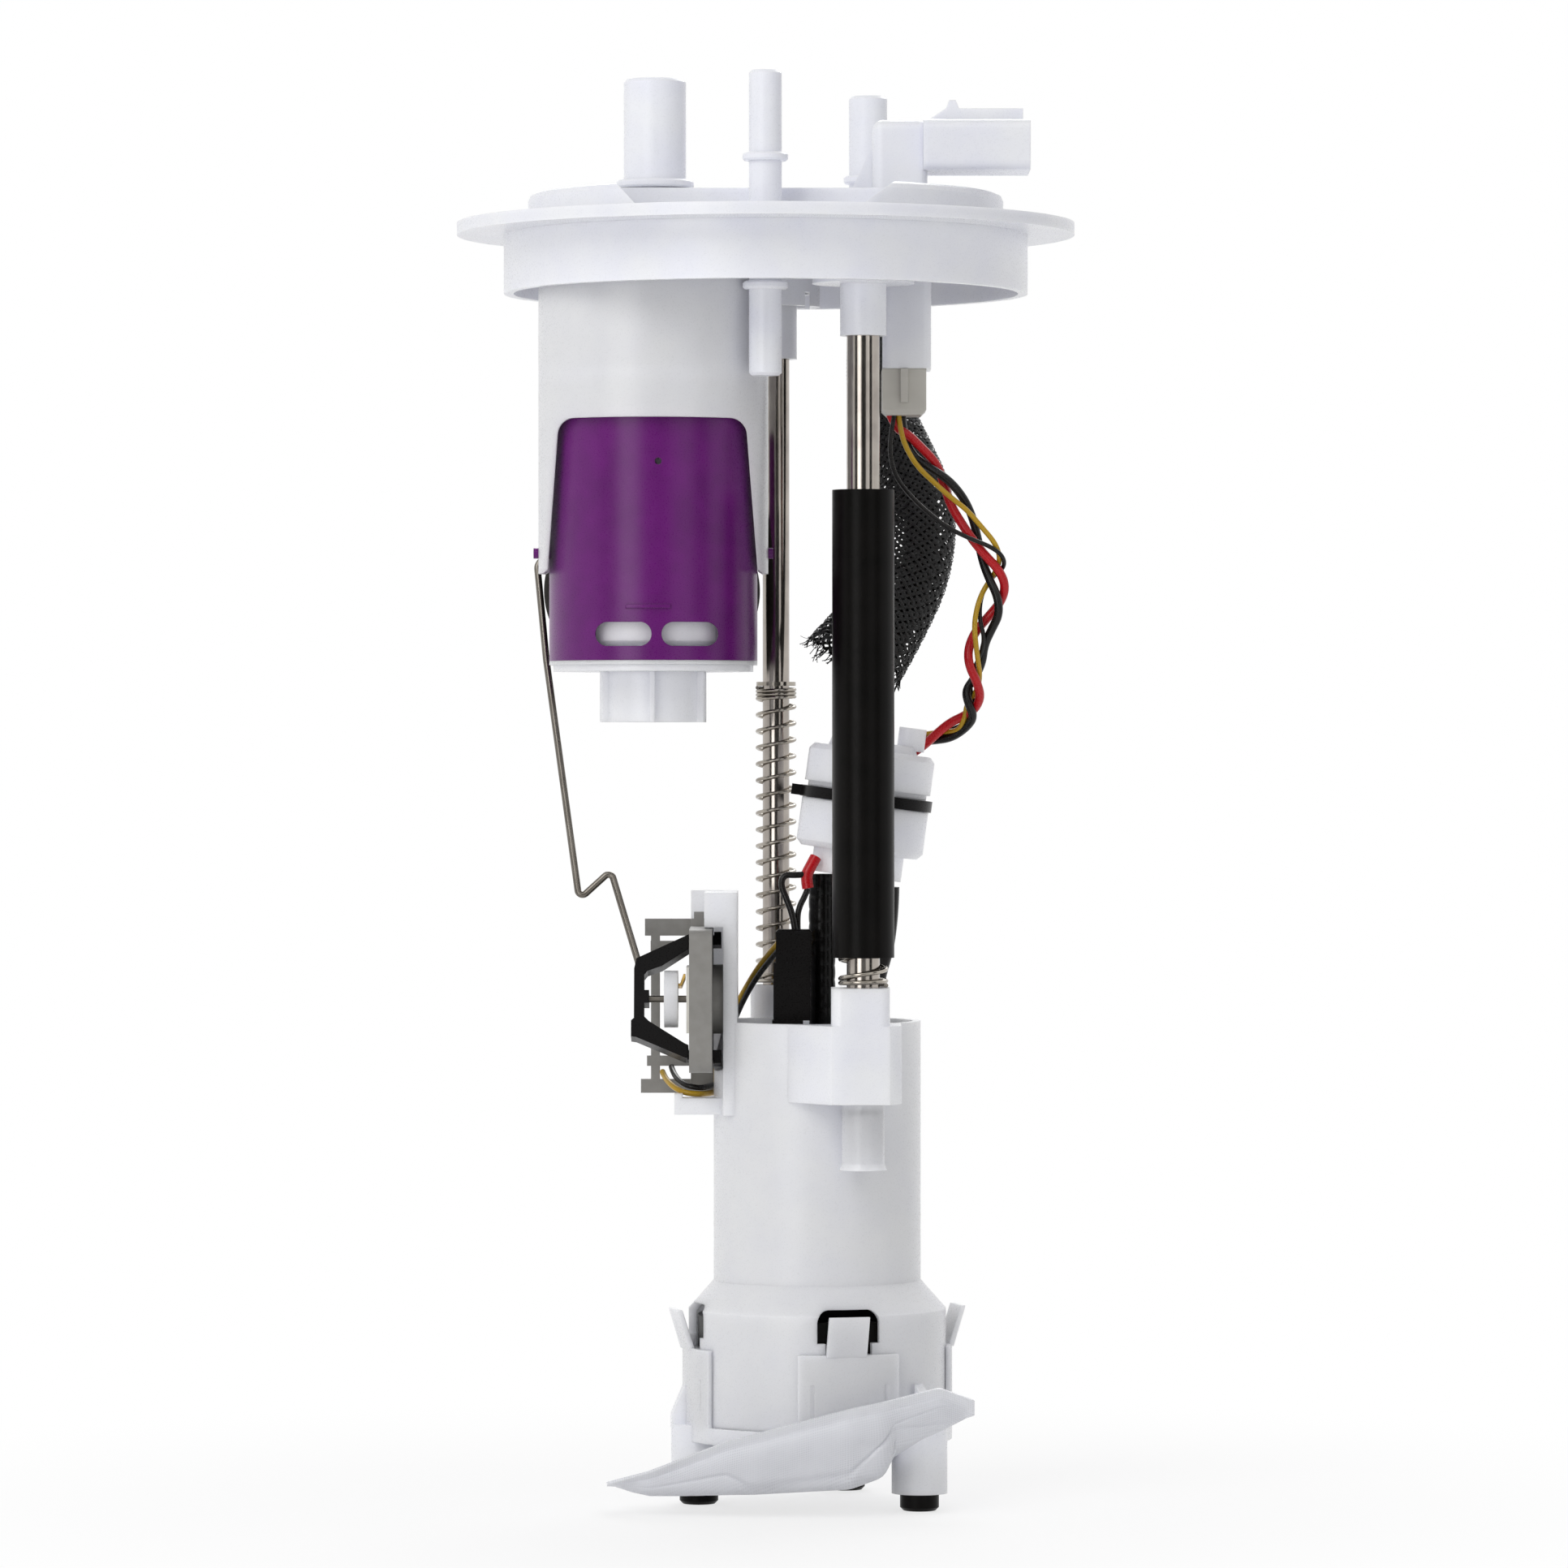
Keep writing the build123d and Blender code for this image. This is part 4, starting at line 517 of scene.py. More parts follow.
@dataclass
class SupplyLine:
    """Hose from the cover to the regulator, with its woven sleeve.

    The sleeve runs from braid_start to braid_end, shares of the hose's length. Each row of reach is a share
    of the sleeve's length, half of its width and half of its depth. drift is how far its lower end hangs
    beside the hose, and slant the slope of the cut. A band makes lay_turns turns, rises by lift over those of
    the other way, and its middle is proud of its edges by band_crown. A loose thread starts fray_root inside
    the cut, leans out by fray_lean and sideways by about fray_twist. blend_from and blend_to, points in
    metres, are not used.
    """

    route: tuple = ((25.5, 25.0, -2.0), (25.5, 25.0, -34.0), (32.5, 24.0, -50.0), (39.5, 22.0, -66.0),
                    (38.0, 19.0, -84.0), (30.5, 14.0, -99.0), (24.6, 8.0, -110.0), (24.5, 5.2, -121.0))
    radius: float = 4.4
    sides: int = 24
    braid_start: float = 0.17
    braid_end: float = 0.85
    reach: tuple = ((0.0, 5.6, 5.6), (0.12, 6.8, 6.4), (0.5, 8.9, 7.2), (0.8, 10.2, 6.4), (1.0, 12.2, 5.8))
    drift: float = -5.6
    slant: float = -0.16
    samples: int = 190
    bands: int = 28
    band_width: float = 1.08
    band_points: int = 4
    band_crown: float = 0.16
    lift: float = 0.26
    lay_turns: float = 1.7
    fray_seed: int = 7
    fray_count: int = 170
    fray_length: tuple[float, float] = (1.0, 4.2)
    fray_root: float = 0.6
    fray_lean: tuple[float, float] = (-0.3, 0.45)
    fray_twist: float = 0.5
    fray_radius: float = 0.13
    fray_steps: int = 7
    fray_sides: int = 4
    blend_from: tuple = (0, 0, -0.036)
    blend_to: tuple = (0, 0, -0.114)

    def build(self) -> None:
        """Makes the hose and the sleeve."""
        path = smooth_line(self.route)
        hose = make_tube("supply_hose_tube", path, self.radius * MM, HOSE_NYLON, self.sides)
        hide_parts("supply_hose")
        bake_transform(hose)
        share = lengths(path) / lengths(path)[-1]
        inside = (share >= self.braid_start) & (share <= self.braid_end)
        sleeve = self.weave(path[inside])
        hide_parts("braided_sleeve")
        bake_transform(sleeve)

    def weave(self, path: np.ndarray) -> bpy.types.Object:
        """Bands of threads that cross over and under, and loose threads at the lower end.

        The sleeve's section is an oval, a cos q by b sin q, that widens towards the cut. Its middle drifts
        off the hose with the cube of the way s, and the cut's slant comes in with s to the sixth power. Band
        k goes round by q = 2 pi k / n +- w s, and its height over the sleeve is a cosine that is out of step
        between the two ways, so that one way is above where the other is below.

        Args:
            path: Centre line in metres.

        Returns:
            The sleeve as one piece.
        """
        even = np.linspace(0, lengths(path)[-1], self.samples)
        fine = np.stack([np.interp(even, lengths(path), path[:, k]) for k in range(3)], -1)
        run = np.linspace(0, 1, len(fine))
        fine = fine + (self.drift * MM * run[:, None] ** 3) * np.array([1.0, 0.0, 0.0])
        side, up = transport(fine)
        along = np.gradient(fine, axis=0)
        along /= np.linalg.norm(along, axis=1, keepdims=True)
        stations = [row[0] for row in self.reach]
        wide = np.interp(run, stations, [row[1] for row in self.reach])
        deep = np.interp(run, stations, [row[2] for row in self.reach])
        offsets = np.linspace(-0.5, 0.5, self.band_points) * self.band_width
        bulge = self.band_crown * (1 - (2 * offsets / self.band_width) ** 2)
        one_band = [face[::-1] for face in grid_faces(len(fine), len(offsets), False)]
        band_uv = np.stack(np.broadcast_arrays(offsets[None, :] * MM, lengths(fine)[:, None]), -1)
        points, faces, uvs = [], [], []
        count = 0
        for way in (-1, 1):
            for k in range(self.bands):
                middle = 2 * math.pi * k / self.bands + way * self.lay_turns * 2 * math.pi * run
                step = middle * self.bands / 2 + way * run * self.lay_turns * math.pi * self.bands
                wave = self.lift * np.cos(step)
                angle = middle[:, None] + offsets[None, :] / ((wide + deep) / 2)[:, None]
                proud = (way * wave)[:, None] + bulge[None, :]
                cut = self.slant * wide[:, None] * np.cos(angle) * run[:, None] ** 6
                out = (wide[:, None] + proud) * np.cos(angle) * MM
                over = (deep[:, None] + proud) * np.sin(angle) * MM
                grid = (fine[:, None] + out[..., None] * side[:, None] + over[..., None] * up[:, None]
                        + (cut * MM)[..., None] * along[:, None])
                points.append(grid.reshape(-1, 3))
                faces += [tuple(c + count for c in face) for face in one_band]
                uvs.append(band_uv.reshape(-1, 2))
                count += len(points[-1])
        threads, thread_faces = self.fray(fine[-1], side[-1], up[-1], along[-1], wide[-1], deep[-1])
        points.append(threads.reshape(-1, 3))
        faces += [tuple(c + count for c in face) for face in thread_faces]
        uvs.append(np.zeros((len(points[-1]), 2)))
        return make_mesh("braided_sleeve_weave", np.concatenate(points), faces, BRAID_STRAND,
                         np.concatenate(uvs), sharp=180)

    def fray(self, end: np.ndarray, side: np.ndarray, up: np.ndarray, along: np.ndarray, wide: float,
             deep: float) -> tuple[np.ndarray, list]:
        """Loose threads that lean out from the cut end.

        Args:
            end: Centre of the cut.
            side: Direction across the sleeve.
            up: The other direction across it.
            along: Direction of the sleeve there.
            wide: Half of the sleeve's width.
            deep: Half of its depth.

        Returns:
            Points and faces: each thread starts on the rim and bends outwards with the square of its length.
        """
        rng = np.random.default_rng(self.fray_seed)
        steps, sides = self.fray_steps, self.fray_sides
        turn = rng.uniform(0, 2 * math.pi, self.fray_count)
        long = rng.uniform(*self.fray_length, self.fray_count)
        lean = rng.uniform(*self.fray_lean, self.fray_count)
        twist = rng.normal(0, self.fray_twist, self.fray_count)
        run = np.linspace(0, 1, steps)
        out = np.cos(turn)[:, None] * side + np.sin(turn)[:, None] * up
        round_way = -np.sin(turn)[:, None] * side + np.cos(turn)[:, None] * up
        rim = wide * np.cos(turn)[:, None] * side + deep * np.sin(turn)[:, None] * up
        root = end + (rim + (self.slant * wide * np.cos(turn) - self.fray_root)[:, None] * along) * MM
        reach = long[:, None] * MM * run[None, :]
        bend = reach * run[None, :]
        lines = (root[:, None] + reach[..., None] * along + (bend * lean[:, None])[..., None] * out[:, None]
                 + (bend * twist[:, None])[..., None] * round_way[:, None])
        circle = ring(self.fray_radius * MM, sides)
        grids = (lines[:, :, None] + circle[None, None, :, :1] * out[:, None, None]
                 + circle[None, None, :, 1:] * round_way[:, None, None])
        one = grid_faces(steps, sides, True) + cap_faces(steps, sides)
        faces = [tuple(c + k * steps * sides for c in face) for k in range(self.fray_count) for face in one]
        return grids, faces


@dataclass(frozen=True)
class Lead:
    """One insulated lead of a bundle."""

    name: str
    finish: Finish
    diameter: float
    route: tuple


# Middle lines in millimetres, from the connector's plug down to the regulator.
HARNESS_LEADS = (
    Lead("harness_lead_red", RED_LEAD, 2.25, (
        (30.6, -6.4, -44.2), (32.2, -6.0, -47.8), (34.9, -5.4, -49.0), (38.2, -5.0, -52.3),
        (41.1, -4.5, -55.2), (42.8, -3.4, -58.0), (43.9, -3.4, -61.6), (45.5, -4.6, -66.6),
        (48.7, -5.8, -71.9), (51.1, -6.0, -75.4), (54.0, -6.0, -78.9), (57.4, -5.6, -82.5),
        (59.0, -4.4, -86.2), (58.0, -2.6, -90.0), (55.0, -1.2, -93.6), (51.4, -1.6, -97.7),
        (49.7, -3.8, -102.0), (50.0, -4.6, -106.0), (52.0, -3.4, -110.0), (53.0, -0.8, -113.6),
        (51.6, 1.8, -116.6), (48.8, 3.6, -118.3), (45.4, 4.6, -119.9), (41.8, 6.4, -123.0),
        (38.6, 9.0, -126.0), (36.4, 11.2, -127.4))),
    Lead("harness_lead_black", BLACK_LEAD, 2.15, (
        (33.4, -4.4, -44.2), (33.8, -4.2, -49.6), (36.2, -4.6, -54.6), (40.4, -6.0, -57.4),
        (44.8, -6.6, -60.2), (48.4, -5.6, -64.3), (50.7, -4.2, -68.9), (52.0, -3.2, -73.9),
        (53.3, -3.4, -80.1), (54.8, -4.4, -84.3), (57.0, -5.6, -88.9), (57.4, -5.2, -93.3),
        (55.6, -3.6, -96.9), (53.8, -2.0, -100.7), (53.3, -0.6, -105.2), (51.4, 0.4, -109.0),
        (49.2, 0.2, -112.0), (50.0, -0.6, -115.4), (51.4, 1.4, -118.4), (49.5, 4.2, -121.2),
        (45.9, 7.0, -123.6), (42.0, 9.0, -124.2), (38.6, 10.8, -124.4), (36.4, 11.8, -124.2))),
    Lead("harness_lead_yellow", YELLOW_LEAD, 1.3, (
        (32.6, -6.8, -44.2), (33.2, -7.2, -49.0), (34.8, -7.4, -53.2), (37.4, -7.6, -57.3),
        (41.1, -8.0, -60.8), (45.2, -8.0, -64.5), (49.4, -7.8, -67.7), (53.0, -7.4, -71.9),
        (56.2, -6.8, -75.6), (57.6, -5.4, -79.0), (57.0, -3.6, -82.0), (55.2, -2.6, -84.8),
        (53.2, -3.6, -88.0), (51.9, -5.2, -91.6), (51.2, -6.0, -96.0), (51.6, -5.8, -100.4),
        (52.2, -4.2, -104.8), (52.8, -1.8, -108.6), (52.0, 0.8, -112.2), (49.6, 2.4, -115.2),
        (49.2, 2.4, -118.4), (47.8, 4.8, -121.8), (44.4, 7.6, -122.2), (40.8, 9.6, -122.4),
        (37.4, 11.6, -123.2))),
    Lead("harness_lead_thin", BLACK_LEAD, 1.1, (
        (31.6, -7.6, -44.2), (30.6, -8.4, -49.6), (30.5, -8.8, -54.9), (32.0, -8.9, -59.9),
        (35.6, -8.8, -64.5), (39.9, -8.8, -68.5), (44.6, -8.8, -72.1), (49.9, -8.6, -74.7),
        (54.8, -7.8, -76.5), (58.2, -6.8, -78.8), (58.8, -4.6, -81.6), (56.2, -2.4, -83.6),
        (53.6, -2.0, -87.1), (52.6, -3.2, -91.2), (52.7, -4.6, -95.2), (53.8, -4.2, -99.0),
        (53.0, -2.6, -103.0), (51.0, -1.2, -107.0), (50.2, 0.6, -111.9), (52.0, 2.8, -115.8),
        (50.6, 4.6, -119.2), (47.0, 7.2, -121.2), (43.0, 9.4, -122.6), (37.8, 12.2, -123.2))),
)
# From the harness end behind the bracket to the sender's contacts.
SENDER_LEADS = (
    Lead("sender_lead_yellow", YELLOW_LEAD, 1.45, (
        (5.5, -2.0, -171.5), (2.0, 6.0, -175.5), (-2.2, 15.0, -181.0), (-6.2, 21.0, -188.0),
        (-11.6, 24.0, -198.4), (-13.0, 22.0, -210.4), (-12.0, 12.0, -211.2), (-13.8, 3.0, -211.4),
        (-16.4, -3.4, -211.3), (-20.6, -3.0, -210.9), (-24.6, 2.4, -208.4), (-25.6, 10.6, -206.4))),
    Lead("sender_lead_black", BLACK_LEAD, 1.45, (
        (5.5, -2.0, -173.4), (2.0, 6.0, -177.4), (-2.2, 15.0, -182.9), (-6.2, 21.0, -189.9),
        (-10.2, 23.0, -200.0), (-11.6, 21.0, -208.8), (-12.0, 11.0, -209.4), (-13.8, 4.0, -209.6),
        (-16.0, -2.2, -209.9), (-19.8, -2.0, -209.3), (-22.6, 3.6, -207.2), (-23.4, 10.6, -205.2))),
)
# From the plug on the pump up to the regulator.
PUMP_LEADS = (
    Lead("pump_lead_power", BLACK_LEAD, 1.6, (
        (7.3, -7.0, -171.6), (6.8, -7.0, -167.6), (5.2, -6.6, -163.4), (3.6, -6.2, -159.6),
        (4.6, -5.8, -157.2), (7.4, -5.4, -157.4), (9.6, -5.0, -157.2))),
    Lead("pump_lead_earth", BLACK_LEAD, 1.5, (
        (7.9, -5.6, -171.6), (7.7, -5.4, -167.6), (8.4, -5.0, -164.8), (9.6, -4.8, -162.6),
        (10.4, -4.8, -160.6))),
    Lead("pump_lead_splice", RED_LEAD, 2.9, (
        (12.3, -3.4, -153.0), (11.0, -4.2, -155.4), (9.8, -4.8, -157.6), (10.4, -4.8, -160.6))),
)


@dataclass
class Wiring:
    """All insulated leads, each on its own smooth line."""

    harness: tuple = HARNESS_LEADS
    sender: tuple = SENDER_LEADS
    pump: tuple = PUMP_LEADS
    sides: int = 12

    def build(self) -> None:
        """Makes every lead; the harness runs between the two bodies and belongs to neither, the other leads
        go with the reservoir unit.
        """
        for lead in (*self.harness, *self.sender, *self.pump):
            path = smooth_line(lead.route)
            piece = make_tube(lead.name, path, lead.diameter / 2 * MM, lead.finish, self.sides)
            if lead in self.harness:
                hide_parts("harness_bundle")
                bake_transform(piece)
            else:
                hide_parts("sender_leads" if lead in self.sender else "pump_leads")
                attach(piece, "reservoir_unit")
            log.info("%s is %.1f mm long", lead.name, lengths(path)[-1] / MM)


@dataclass
class PumpHoses:
    """Corrugated hose from the pump and the plain return hose.

    Rings with less fullness are flatter, with narrower grooves between them.
    """

    at: tuple[float, float] = (13.9, 4.0)
    low: float = -199.0
    high: float = -157.2
    radius: float = 3.3
    bore: float = 1.0
    depth: float = 0.16
    rings: int = 12
    ring_steps: int = 8
    fullness: float = 0.6
    sides: int = 32
    return_route: tuple = ((30.0, 3.0, -160.4), (29.8, 3.2, -172.0), (25.6, 4.8, -186.0), (24.6, 5.0, -198.7))
    return_radius: float = 3.0
    return_sides: int = 24

    def build(self) -> None:
        """Radius of the corrugated hose is r - d (1 - |cos|^f) along its height."""
        steps = self.rings * self.ring_steps + 1
        run = np.linspace(0, self.rings, steps)
        wave = np.abs(np.cos(run * math.pi)) ** self.fullness
        reach = self.radius - self.depth * (1 - wave)
        height = np.linspace(self.low, self.high, steps)
        profile = [(self.bore, self.low), *zip(reach.tolist(), height.tolist()), (self.bore, self.high)]
        hose = revolve("pump_hose_corrugated", profile, self.at, HOSE_NYLON, self.sides)
        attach(hose, "reservoir_unit")
        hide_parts("pump_hose")
        line = smooth_line(self.return_route)
        back = make_tube("return_hose_tube", line, self.return_radius * MM, HOSE_NYLON, self.return_sides)
        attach(back, "reservoir_unit")
        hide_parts("return_hose")


@dataclass
class Strainer:
    """Flat filter pouch under the base, with welded edges and a curled front.

    Each station along X has a thickness and (y, z) of the front edge, of the knee, from which the front part
    rises, and of the back edge. Smoothing is the number of rows over which its corners are evened out. The
    shoulder is the way over which the pouch rises from the weld, whose inner edge is a low ridge. Each fold
    is a start and an end, both (x, share of the width), a depth and a width. The field width turns such a
    share into millimetres.
    """

    stations: tuple = (-38.5, -28.0, -9.0, -3.0, 20.0, 27.0, 30.0, 42.0, 50.5)
    front: tuple = ((-30, -304.4), (-38, -300.8), (-41.5, -293.0), (-42.5, -291.4), (-44.0, -285.2),
                    (-43.3, -283.8), (-42.8, -283.2), (-39.5, -280.4), (-35.0, -283.8))
    knee: tuple = ((-24, -305.4), (-33, -304.8), (-38.0, -303.6), (-39.0, -303.4), (-40.0, -302.0),
                   (-39.5, -299.8), (-38.5, -293.4), (-36.0, -289.8), (-33.5, -287.0))
    back: tuple = ((-16, -305.6), (-17, -305.0), (-15, -303.0), (0, -299.65), (0, -299.65), (-18, -299.65),
                   (-31, -298.4), (-31, -290.6), (-30.5, -287.6))
    thick: tuple = (1.2, 5.0, 5.4, 5.4, 5.4, 5.0, 4.6, 3.6, 1.2)
    knee_limits: tuple[float, float] = (0.2, 0.8)
    knee_blend: float = 0.05
    rows: int = 180
    columns: int = 110
    smoothing: int = 7
    width: float = 40.0
    weld: float = 2.6
    weld_thick: float = 0.7
    shoulder: float = 7.0
    ridge_high: float = 0.22
    ridge_wide: float = 0.35
    folds: tuple = (((-30.0, 0.2), (46.0, 0.3), 0.5, 0.5), ((-22.0, 0.42), (30.0, 0.5), 0.45, 0.6),
                    ((-12.0, 0.62), (-4.0, 0.44), 0.6, 0.45), ((-10.0, 0.66), (-6.5, 0.5), 0.5, 0.4),
                    ((-14.0, 0.6), (24.0, 0.64), 0.5, 0.5), ((22.0, 0.16), (44.0, 0.62), 0.35, 0.9))

    def sheet(self, s: np.ndarray, t: np.ndarray) -> np.ndarray:
        """Middle of the pouch.

        Args:
            s: Share of the way from the left end to the right.
            t: Share of the way from the front edge to the back.

        Returns:
            Point of the line front, knee, back, whose two runs meet at share m and are mixed across the knee
            by w = (1 + tanh((t - m) / knee_blend)) / 2. Each is then the mean of its neighbours along the
            pouch, weighted by a cosine bell.
        """
        x = self.stations[0] + s * (self.stations[-1] - self.stations[0])
        f, k, b = (np.stack([np.interp(x, self.stations, [p[a] for p in row]) for a in (0, 1)], -1)
                   for row in (self.front, self.knee, self.back))
        first = np.linalg.norm(k - f, axis=-1)
        second = np.linalg.norm(b - k, axis=-1)
        m = (first / (first + second)).clip(*self.knee_limits)
        ahead = f + (k - f) * (t / m)[..., None]
        behind = k + (b - k) * ((t - m) / (1 - m))[..., None]
        w = (1 + np.tanh((t - m) / self.knee_blend))[..., None] / 2
        middle = np.concatenate([x[..., None], ahead * (1 - w) + behind * w], -1)
        bell = np.hanning(self.smoothing)
        bell /= bell.sum()
        reach = self.smoothing // 2
        padded = np.pad(middle, ((reach, reach), (0, 0), (0, 0)), mode="reflect", reflect_type="odd")
        return np.apply_along_axis(lambda v: np.convolve(v, bell, mode="valid"), 0, padded)

    def half_thickness(self, s: np.ndarray, t: np.ndarray, x: np.ndarray, long: np.ndarray) -> np.ndarray:
        """Half of the pouch's thickness.

        Args:
            s: Share of the way from the left end to the right.
            t: Share of the way from the front edge to the back.
            x: Place along X.
            long: Width of the pouch there.

        Returns:
            Half of the full thickness, which falls to the weld by a quarter circle over the shoulder. A fold
            presses it in by d exp(-(o / w)^2), where o is the way from its line, and the ridge at the weld's
            inner edge stands proud by the same rule.
        """
        full = np.interp(x, self.stations, self.thick)
        across = np.minimum(t, 1 - t) * long
        ends = np.minimum(s, 1 - s) * (self.stations[-1] - self.stations[0])
        rim = np.minimum(across, ends)
        rise = np.clip((rim - self.weld) / self.shoulder, 0, 1)
        crown = np.sqrt(np.clip(1 - (1 - rise) ** 2, 0, 1))
        half = self.weld_thick / 2 + (full / 2 - self.weld_thick / 2).clip(0) * crown
        for start, finish, deep, wide in self.folds:
            run_x = finish[0] - start[0]
            run_t = finish[1] - start[1]
            beside = (x - start[0]) * run_x + (t - start[1]) * self.width * run_t * self.width
            along = np.clip(beside / (run_x ** 2 + run_t ** 2 * self.width ** 2), 0, 1)
            off = np.hypot(x - start[0] - along * run_x, (t - start[1] - along * run_t) * self.width)
            half = half - deep * np.exp(-(off / wide) ** 2) * rise
        return half + self.ridge_high * np.exp(-((rim - self.weld) / self.ridge_wide) ** 2)

    def close(self) -> list[tuple[int, ...]]:
        """Faces of the closed pouch.

        Returns:
            Faces of the upper skin, of the lower skin turned round, and of the rim between them.
        """
        rows, columns = self.rows, self.columns
        shift = rows * columns
        lid = grid_faces(rows, columns, False)
        floor = [tuple(c + shift for c in face[::-1]) for face in lid]
        edge = np.concatenate([np.arange(columns), np.arange(1, rows) * columns + columns - 1,
                               (rows - 1) * columns + np.arange(columns - 2, -1, -1),
                               np.arange(rows - 2, 0, -1) * columns]).tolist()
        side = [(edge[i], edge[i - 1], edge[i - 1] + shift, edge[i] + shift) for i in range(len(edge))]
        return lid + floor + side

    def build(self) -> None:
        """Makes the pouch: its skins are the middle plus and minus half the thickness along the normal."""
        s, t = np.meshgrid(np.linspace(0, 1, self.rows), np.linspace(0, 1, self.columns), indexing="ij")
        middle = self.sheet(s, t)
        normal = np.cross(np.gradient(middle, axis=0), np.gradient(middle, axis=1))
        normal /= np.linalg.norm(normal, axis=-1, keepdims=True)
        x = middle[..., 0]
        long = np.linalg.norm(np.diff(middle, axis=1), axis=-1).sum(1)[:, None]
        half = self.half_thickness(s, t, x, long)
        lid = middle + normal * half[..., None]
        floor = middle - normal * half[..., None]
        if lid[..., 2].mean() < floor[..., 2].mean():
            lid, floor = floor, lid
        points = np.concatenate([lid.reshape(-1, 3), floor.reshape(-1, 3)]) * MM
        skin_uv = np.stack([x, t * long], -1).reshape(-1, 2) * MM
        piece = make_mesh("strainer_pouch", points, self.close(), FILTER_CLOTH,
                          np.concatenate([skin_uv, skin_uv]), sharp=60)
        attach(piece, "reservoir_unit")
        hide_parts("strainer_sock")


def straight_look(tree: bpy.types.NodeTree) -> bpy.types.Node:
    """Tells what is seen from what only gives light.

    Args:
        tree: The floor's or the world's tree.

    Returns:
        Node that is 1 for what the camera sees straight, in gloss or through glass, and else 0.
    """
    rays = add_node(tree, "LightPath").outputs
    seen = add_node(tree, "Math", {0: rays["Is Camera Ray"], 1: rays["Is Glossy Ray"]}, operation="MAXIMUM")
    return add_node(tree, "Math", {0: seen, 1: rays["Is Transmission Ray"]}, operation="MAXIMUM")


@dataclass(frozen=True)
class Lamp:
    """Square lamp that faces a point, in metres and watts."""

    name: str
    at: tuple[float, float, float]
    size: float
    power: float
    aim: tuple[float, float, float] = (0, 0, -0.12)

    def build(self) -> None:
        """Adds the lamp, turned by the two angles of the line from its place to the point."""
        light = bpy.data.lights.new(self.name, "AREA")
        light.energy = self.power
        light.size = self.size
        piece = bpy.data.objects.new(self.name, light)
        piece.location = self.at
        to = np.array(self.aim) - np.array(self.at)
        pitch = math.atan2(math.hypot(to[0], to[1]), -to[2])
        piece.rotation_euler = (pitch, 0, math.atan2(-to[0], to[1]))
        bpy.context.scene.collection.objects.link(piece)


@dataclass(frozen=True)
class Flag:
    """Upright dark card that only shows in reflections, in metres."""

    name: str
    at: tuple[float, float]
    width: float
    low: float = -0.6
    high: float = 0.35

    def build(self) -> None:
        """Adds the card, square to the line from the object."""
        away = np.array(self.at) / np.hypot(*self.at)
        across = np.array((-away[1], away[0])) * self.width / 2
        corners = [(*(np.array(self.at) + k * across), z)
                   for k, z in ((-1, self.low), (1, self.low), (1, self.high), (-1, self.high))]
        mesh = bpy.data.meshes.new(self.name)
        mesh.from_pydata(corners, [], [(0, 1, 2, 3)])
        material = bpy.data.materials.new("flag_cloth")
        material.use_nodes = True
        shader = material.node_tree.nodes["Principled BSDF"]
        shader.inputs["Base Color"].default_value = linear("#161616")
        shader.inputs["Roughness"].default_value = 1.0
        mesh.materials.append(material)
        card = bpy.data.objects.new(self.name, mesh)
        card.visible_camera = card.visible_diffuse = card.visible_shadow = card.visible_transmission = False
        bpy.context.scene.collection.objects.link(card)


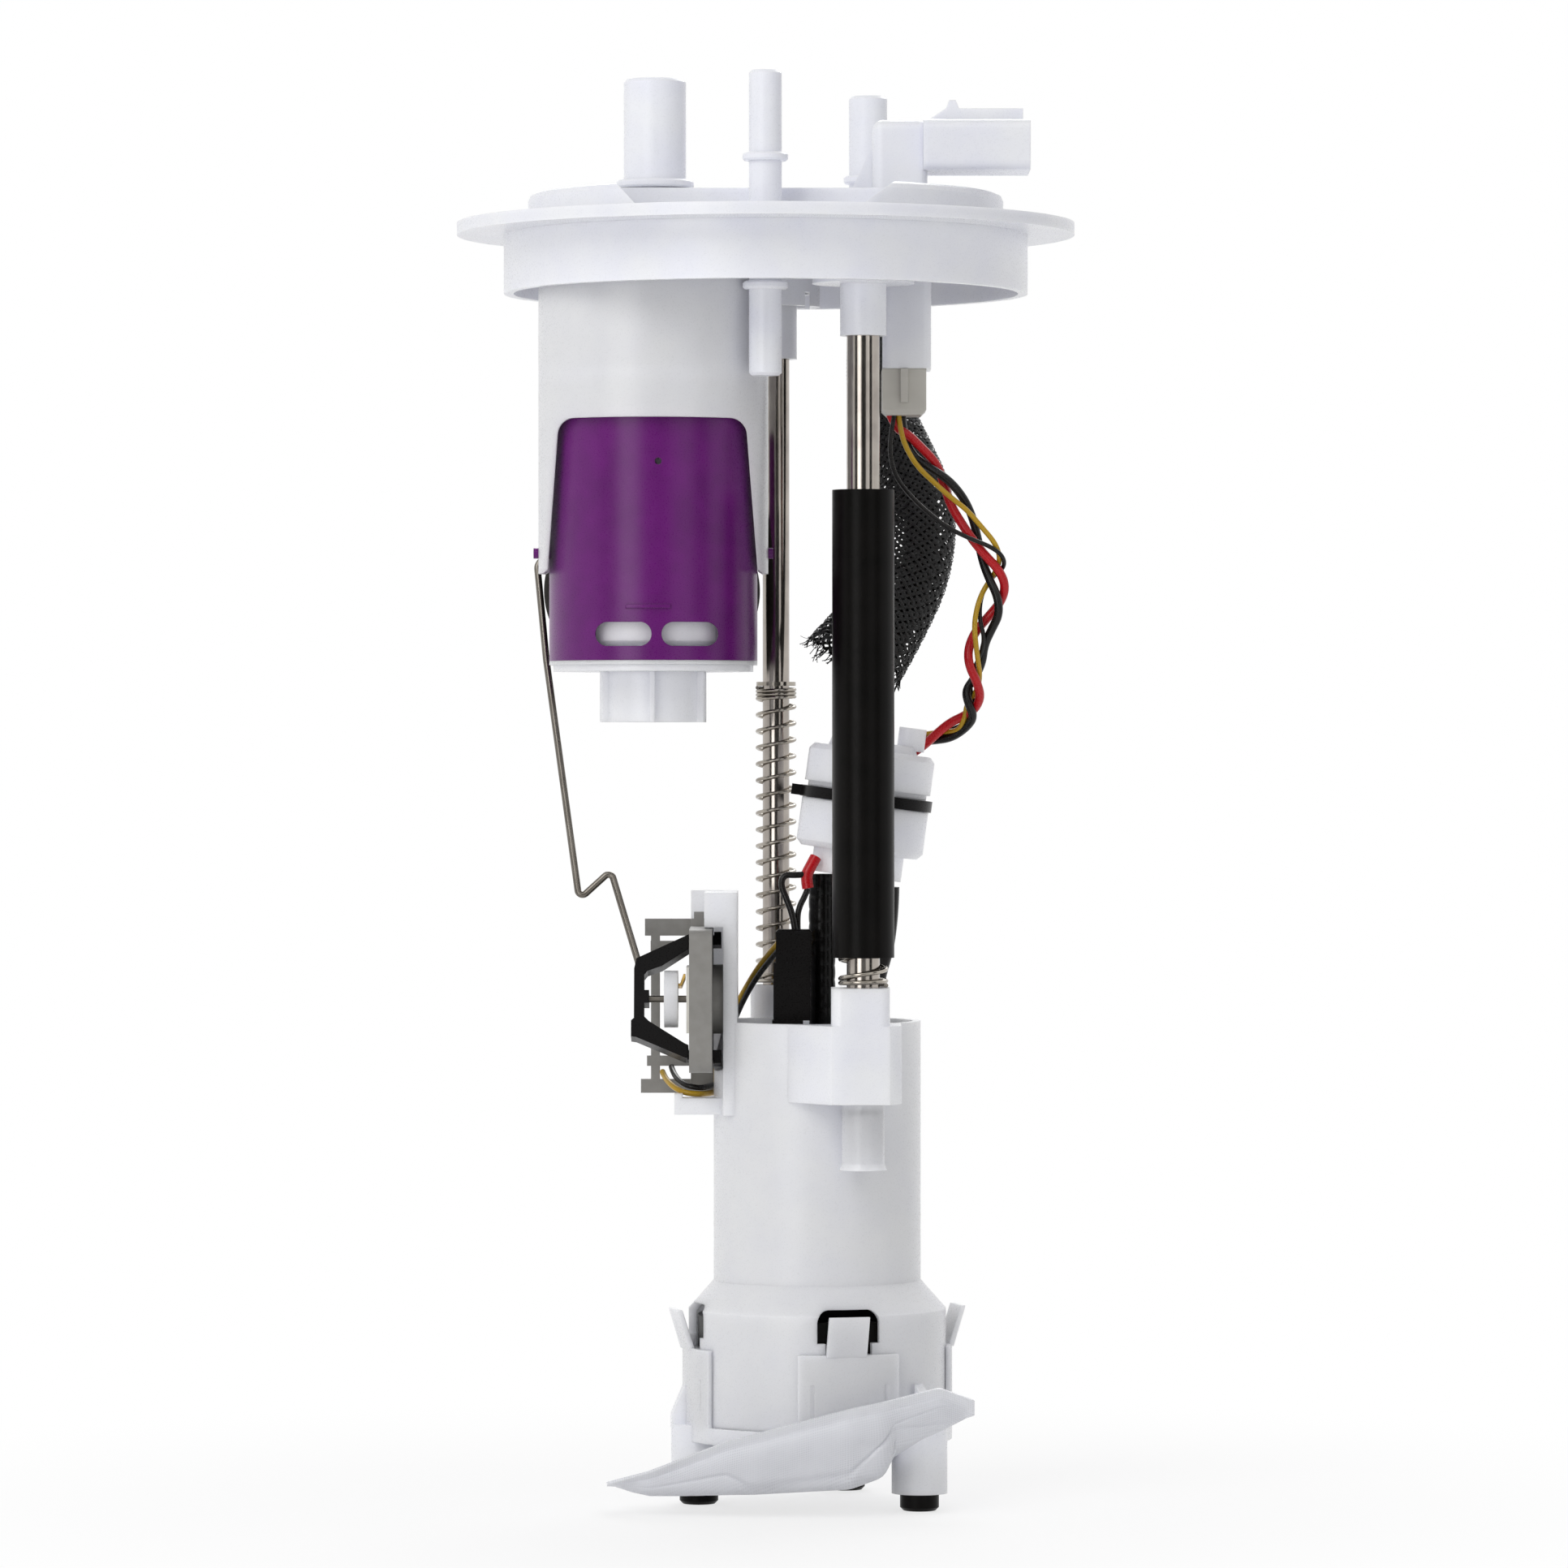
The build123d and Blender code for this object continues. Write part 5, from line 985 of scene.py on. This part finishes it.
@dataclass
class Studio:
    """Camera at the photograph's place, pale floor, soft lamps and dark cards.

    The camera's place, lens and sensor and the floor's height are in millimetres, all else in metres. Between
    the two distances of fade the floor turns from shadow_share of white to all white.
    """

    camera_at: tuple = (4.5, -1800.0, -124.8)
    tilt: float = 0.3247
    lens: float = 167.7
    sensor: float = 36.0
    view_end: float = 30.0
    floor_height: float = -311.9
    floor_reach: float = 6.0
    floor_shade: float = 0.92
    fade: tuple[float, float] = (0.03, 0.3)
    shadow_share: float = 0.72
    world_level: float = 0.42
    lamps: tuple = (Lamp("key_lamp", (-1.1, -1.5, 1.2), 1.3, 17),
                    Lamp("fill_lamp", (1.5, -1.2, 0.5), 1.4, 2.5),
                    Lamp("low_lamp", (-0.9, -1.4, -0.4), 1.0, 9),
                    Lamp("back_lamp", (0.3, 1.6, 1.3), 1.4, 23))
    flags: tuple = (Flag("flag_left", (-0.62, -0.55), 0.32), Flag("flag_right", (0.66, -0.5), 0.3),
                    Flag("flag_front", (0.1, -2.0), 1.1))

    def build(self) -> None:
        """Adds camera, floor, lamps, cards and world."""
        scene = bpy.context.scene
        scene.view_settings.view_transform = "Standard"
        lens = bpy.data.cameras.new("camera")
        lens.lens = self.lens
        lens.sensor_width = self.sensor
        lens.clip_end = self.view_end
        camera = bpy.data.objects.new("camera", lens)
        camera.location = [c * MM for c in self.camera_at]
        camera.rotation_euler = (math.radians(90 - self.tilt), 0, 0)
        scene.collection.objects.link(camera)
        scene.camera = camera
        self.make_floor()
        for item in (*self.lamps, *self.flags):
            item.build()
        self.make_world()

    def make_floor(self) -> None:
        """Pale floor that keeps the shadow under the object and turns to the white behind farther out."""
        mesh = bpy.data.meshes.new("floor")
        reach = self.floor_reach
        z = self.floor_height * MM
        mesh.from_pydata([(-reach, -reach, z), (reach, -reach, z), (reach, reach, z), (-reach, reach, z)], [],
                         [(0, 1, 2, 3)])
        material = bpy.data.materials.new("floor_paint")
        material.use_nodes = True
        tree = material.node_tree
        tree.nodes.clear()
        shade = self.floor_shade
        paint = add_node(tree, "BsdfDiffuse", {"Color": (shade, shade, shade, 1.0)})
        white = add_node(tree, "Emission", {"Color": (1.0, 1.0, 1.0, 1.0), "Strength": 1.0})
        place = add_node(tree, "TexCoord").outputs["Object"]
        flat = add_node(tree, "Mapping", {"Vector": place, "Scale": (1.0, 1.0, 0.0)})
        far = add_node(tree, "VectorMath", {0: flat}, operation="LENGTH").outputs["Value"]
        fade = add_node(tree, "MapRange", {"Value": far, "From Min": self.fade[0], "From Max": self.fade[1],
                                           "To Min": self.shadow_share, "To Max": 1.0},
                        interpolation_type="SMOOTHSTEP")
        share = add_node(tree, "Math", {0: straight_look(tree), 1: fade}, operation="MULTIPLY")
        mixed = add_node(tree, "MixShader", {0: share, 1: paint, 2: white})
        add_node(tree, "OutputMaterial", {0: mixed})
        mesh.materials.append(material)
        plane = bpy.data.objects.new("floor", mesh)
        bpy.context.scene.collection.objects.link(plane)

    def make_world(self) -> None:
        """White where the camera, gloss or glass looks at it, and a soft level of light elsewhere."""
        world = bpy.data.worlds.new("studio")
        bpy.context.scene.world = world
        world.use_nodes = True
        tree = world.node_tree
        tree.nodes.clear()
        level = add_node(tree, "MapRange",
                         {"Value": straight_look(tree), "To Min": self.world_level, "To Max": 1.0})
        back = add_node(tree, "Background", {"Color": (1.0, 1.0, 1.0, 1.0), "Strength": level})
        add_node(tree, "OutputWorld", {0: back})


def dress_solids() -> None:
    """Gives every solid its own finish or that of its slot, and logs those that still show."""
    slots = {row["node"]: row["material_slot"] for row in frame["record"]["subparts"]}
    for node, solid in frame["nodes"].items():
        finish = NODE_FINISHES.get(node, SLOT_FINISHES[slots[node]])
        solid.data.materials.clear()
        solid.data.materials.append(finish.build())
        if not solid.hide_render:
            log.info("%s carried over in %s", node, finish.name)


def main() -> None:
    """Builds the pieces in order."""
    logging.basicConfig(level=logging.INFO, format="%(message)s")
    Studio().build()
    SupplyLine().build()
    Wiring().build()
    PumpHoses().build()
    CoilSpring("front_spring_coil", "front_spring", at=(23.7, -30.0), low=-184.2, high=-110.6, radius=5.55,
               wire=0.55, turns=18.0, closed_top=2.0).build()
    CoilSpring("rear_spring_coil", "rear_spring", at=(2.5, 30.0), low=-185.4, high=-110.6, radius=4.7,
               wire=0.45, turns=21.5, closed_top=3.0).build()
    Strainer().build()
    dress_solids()


if __name__ == "__main__":
    main()
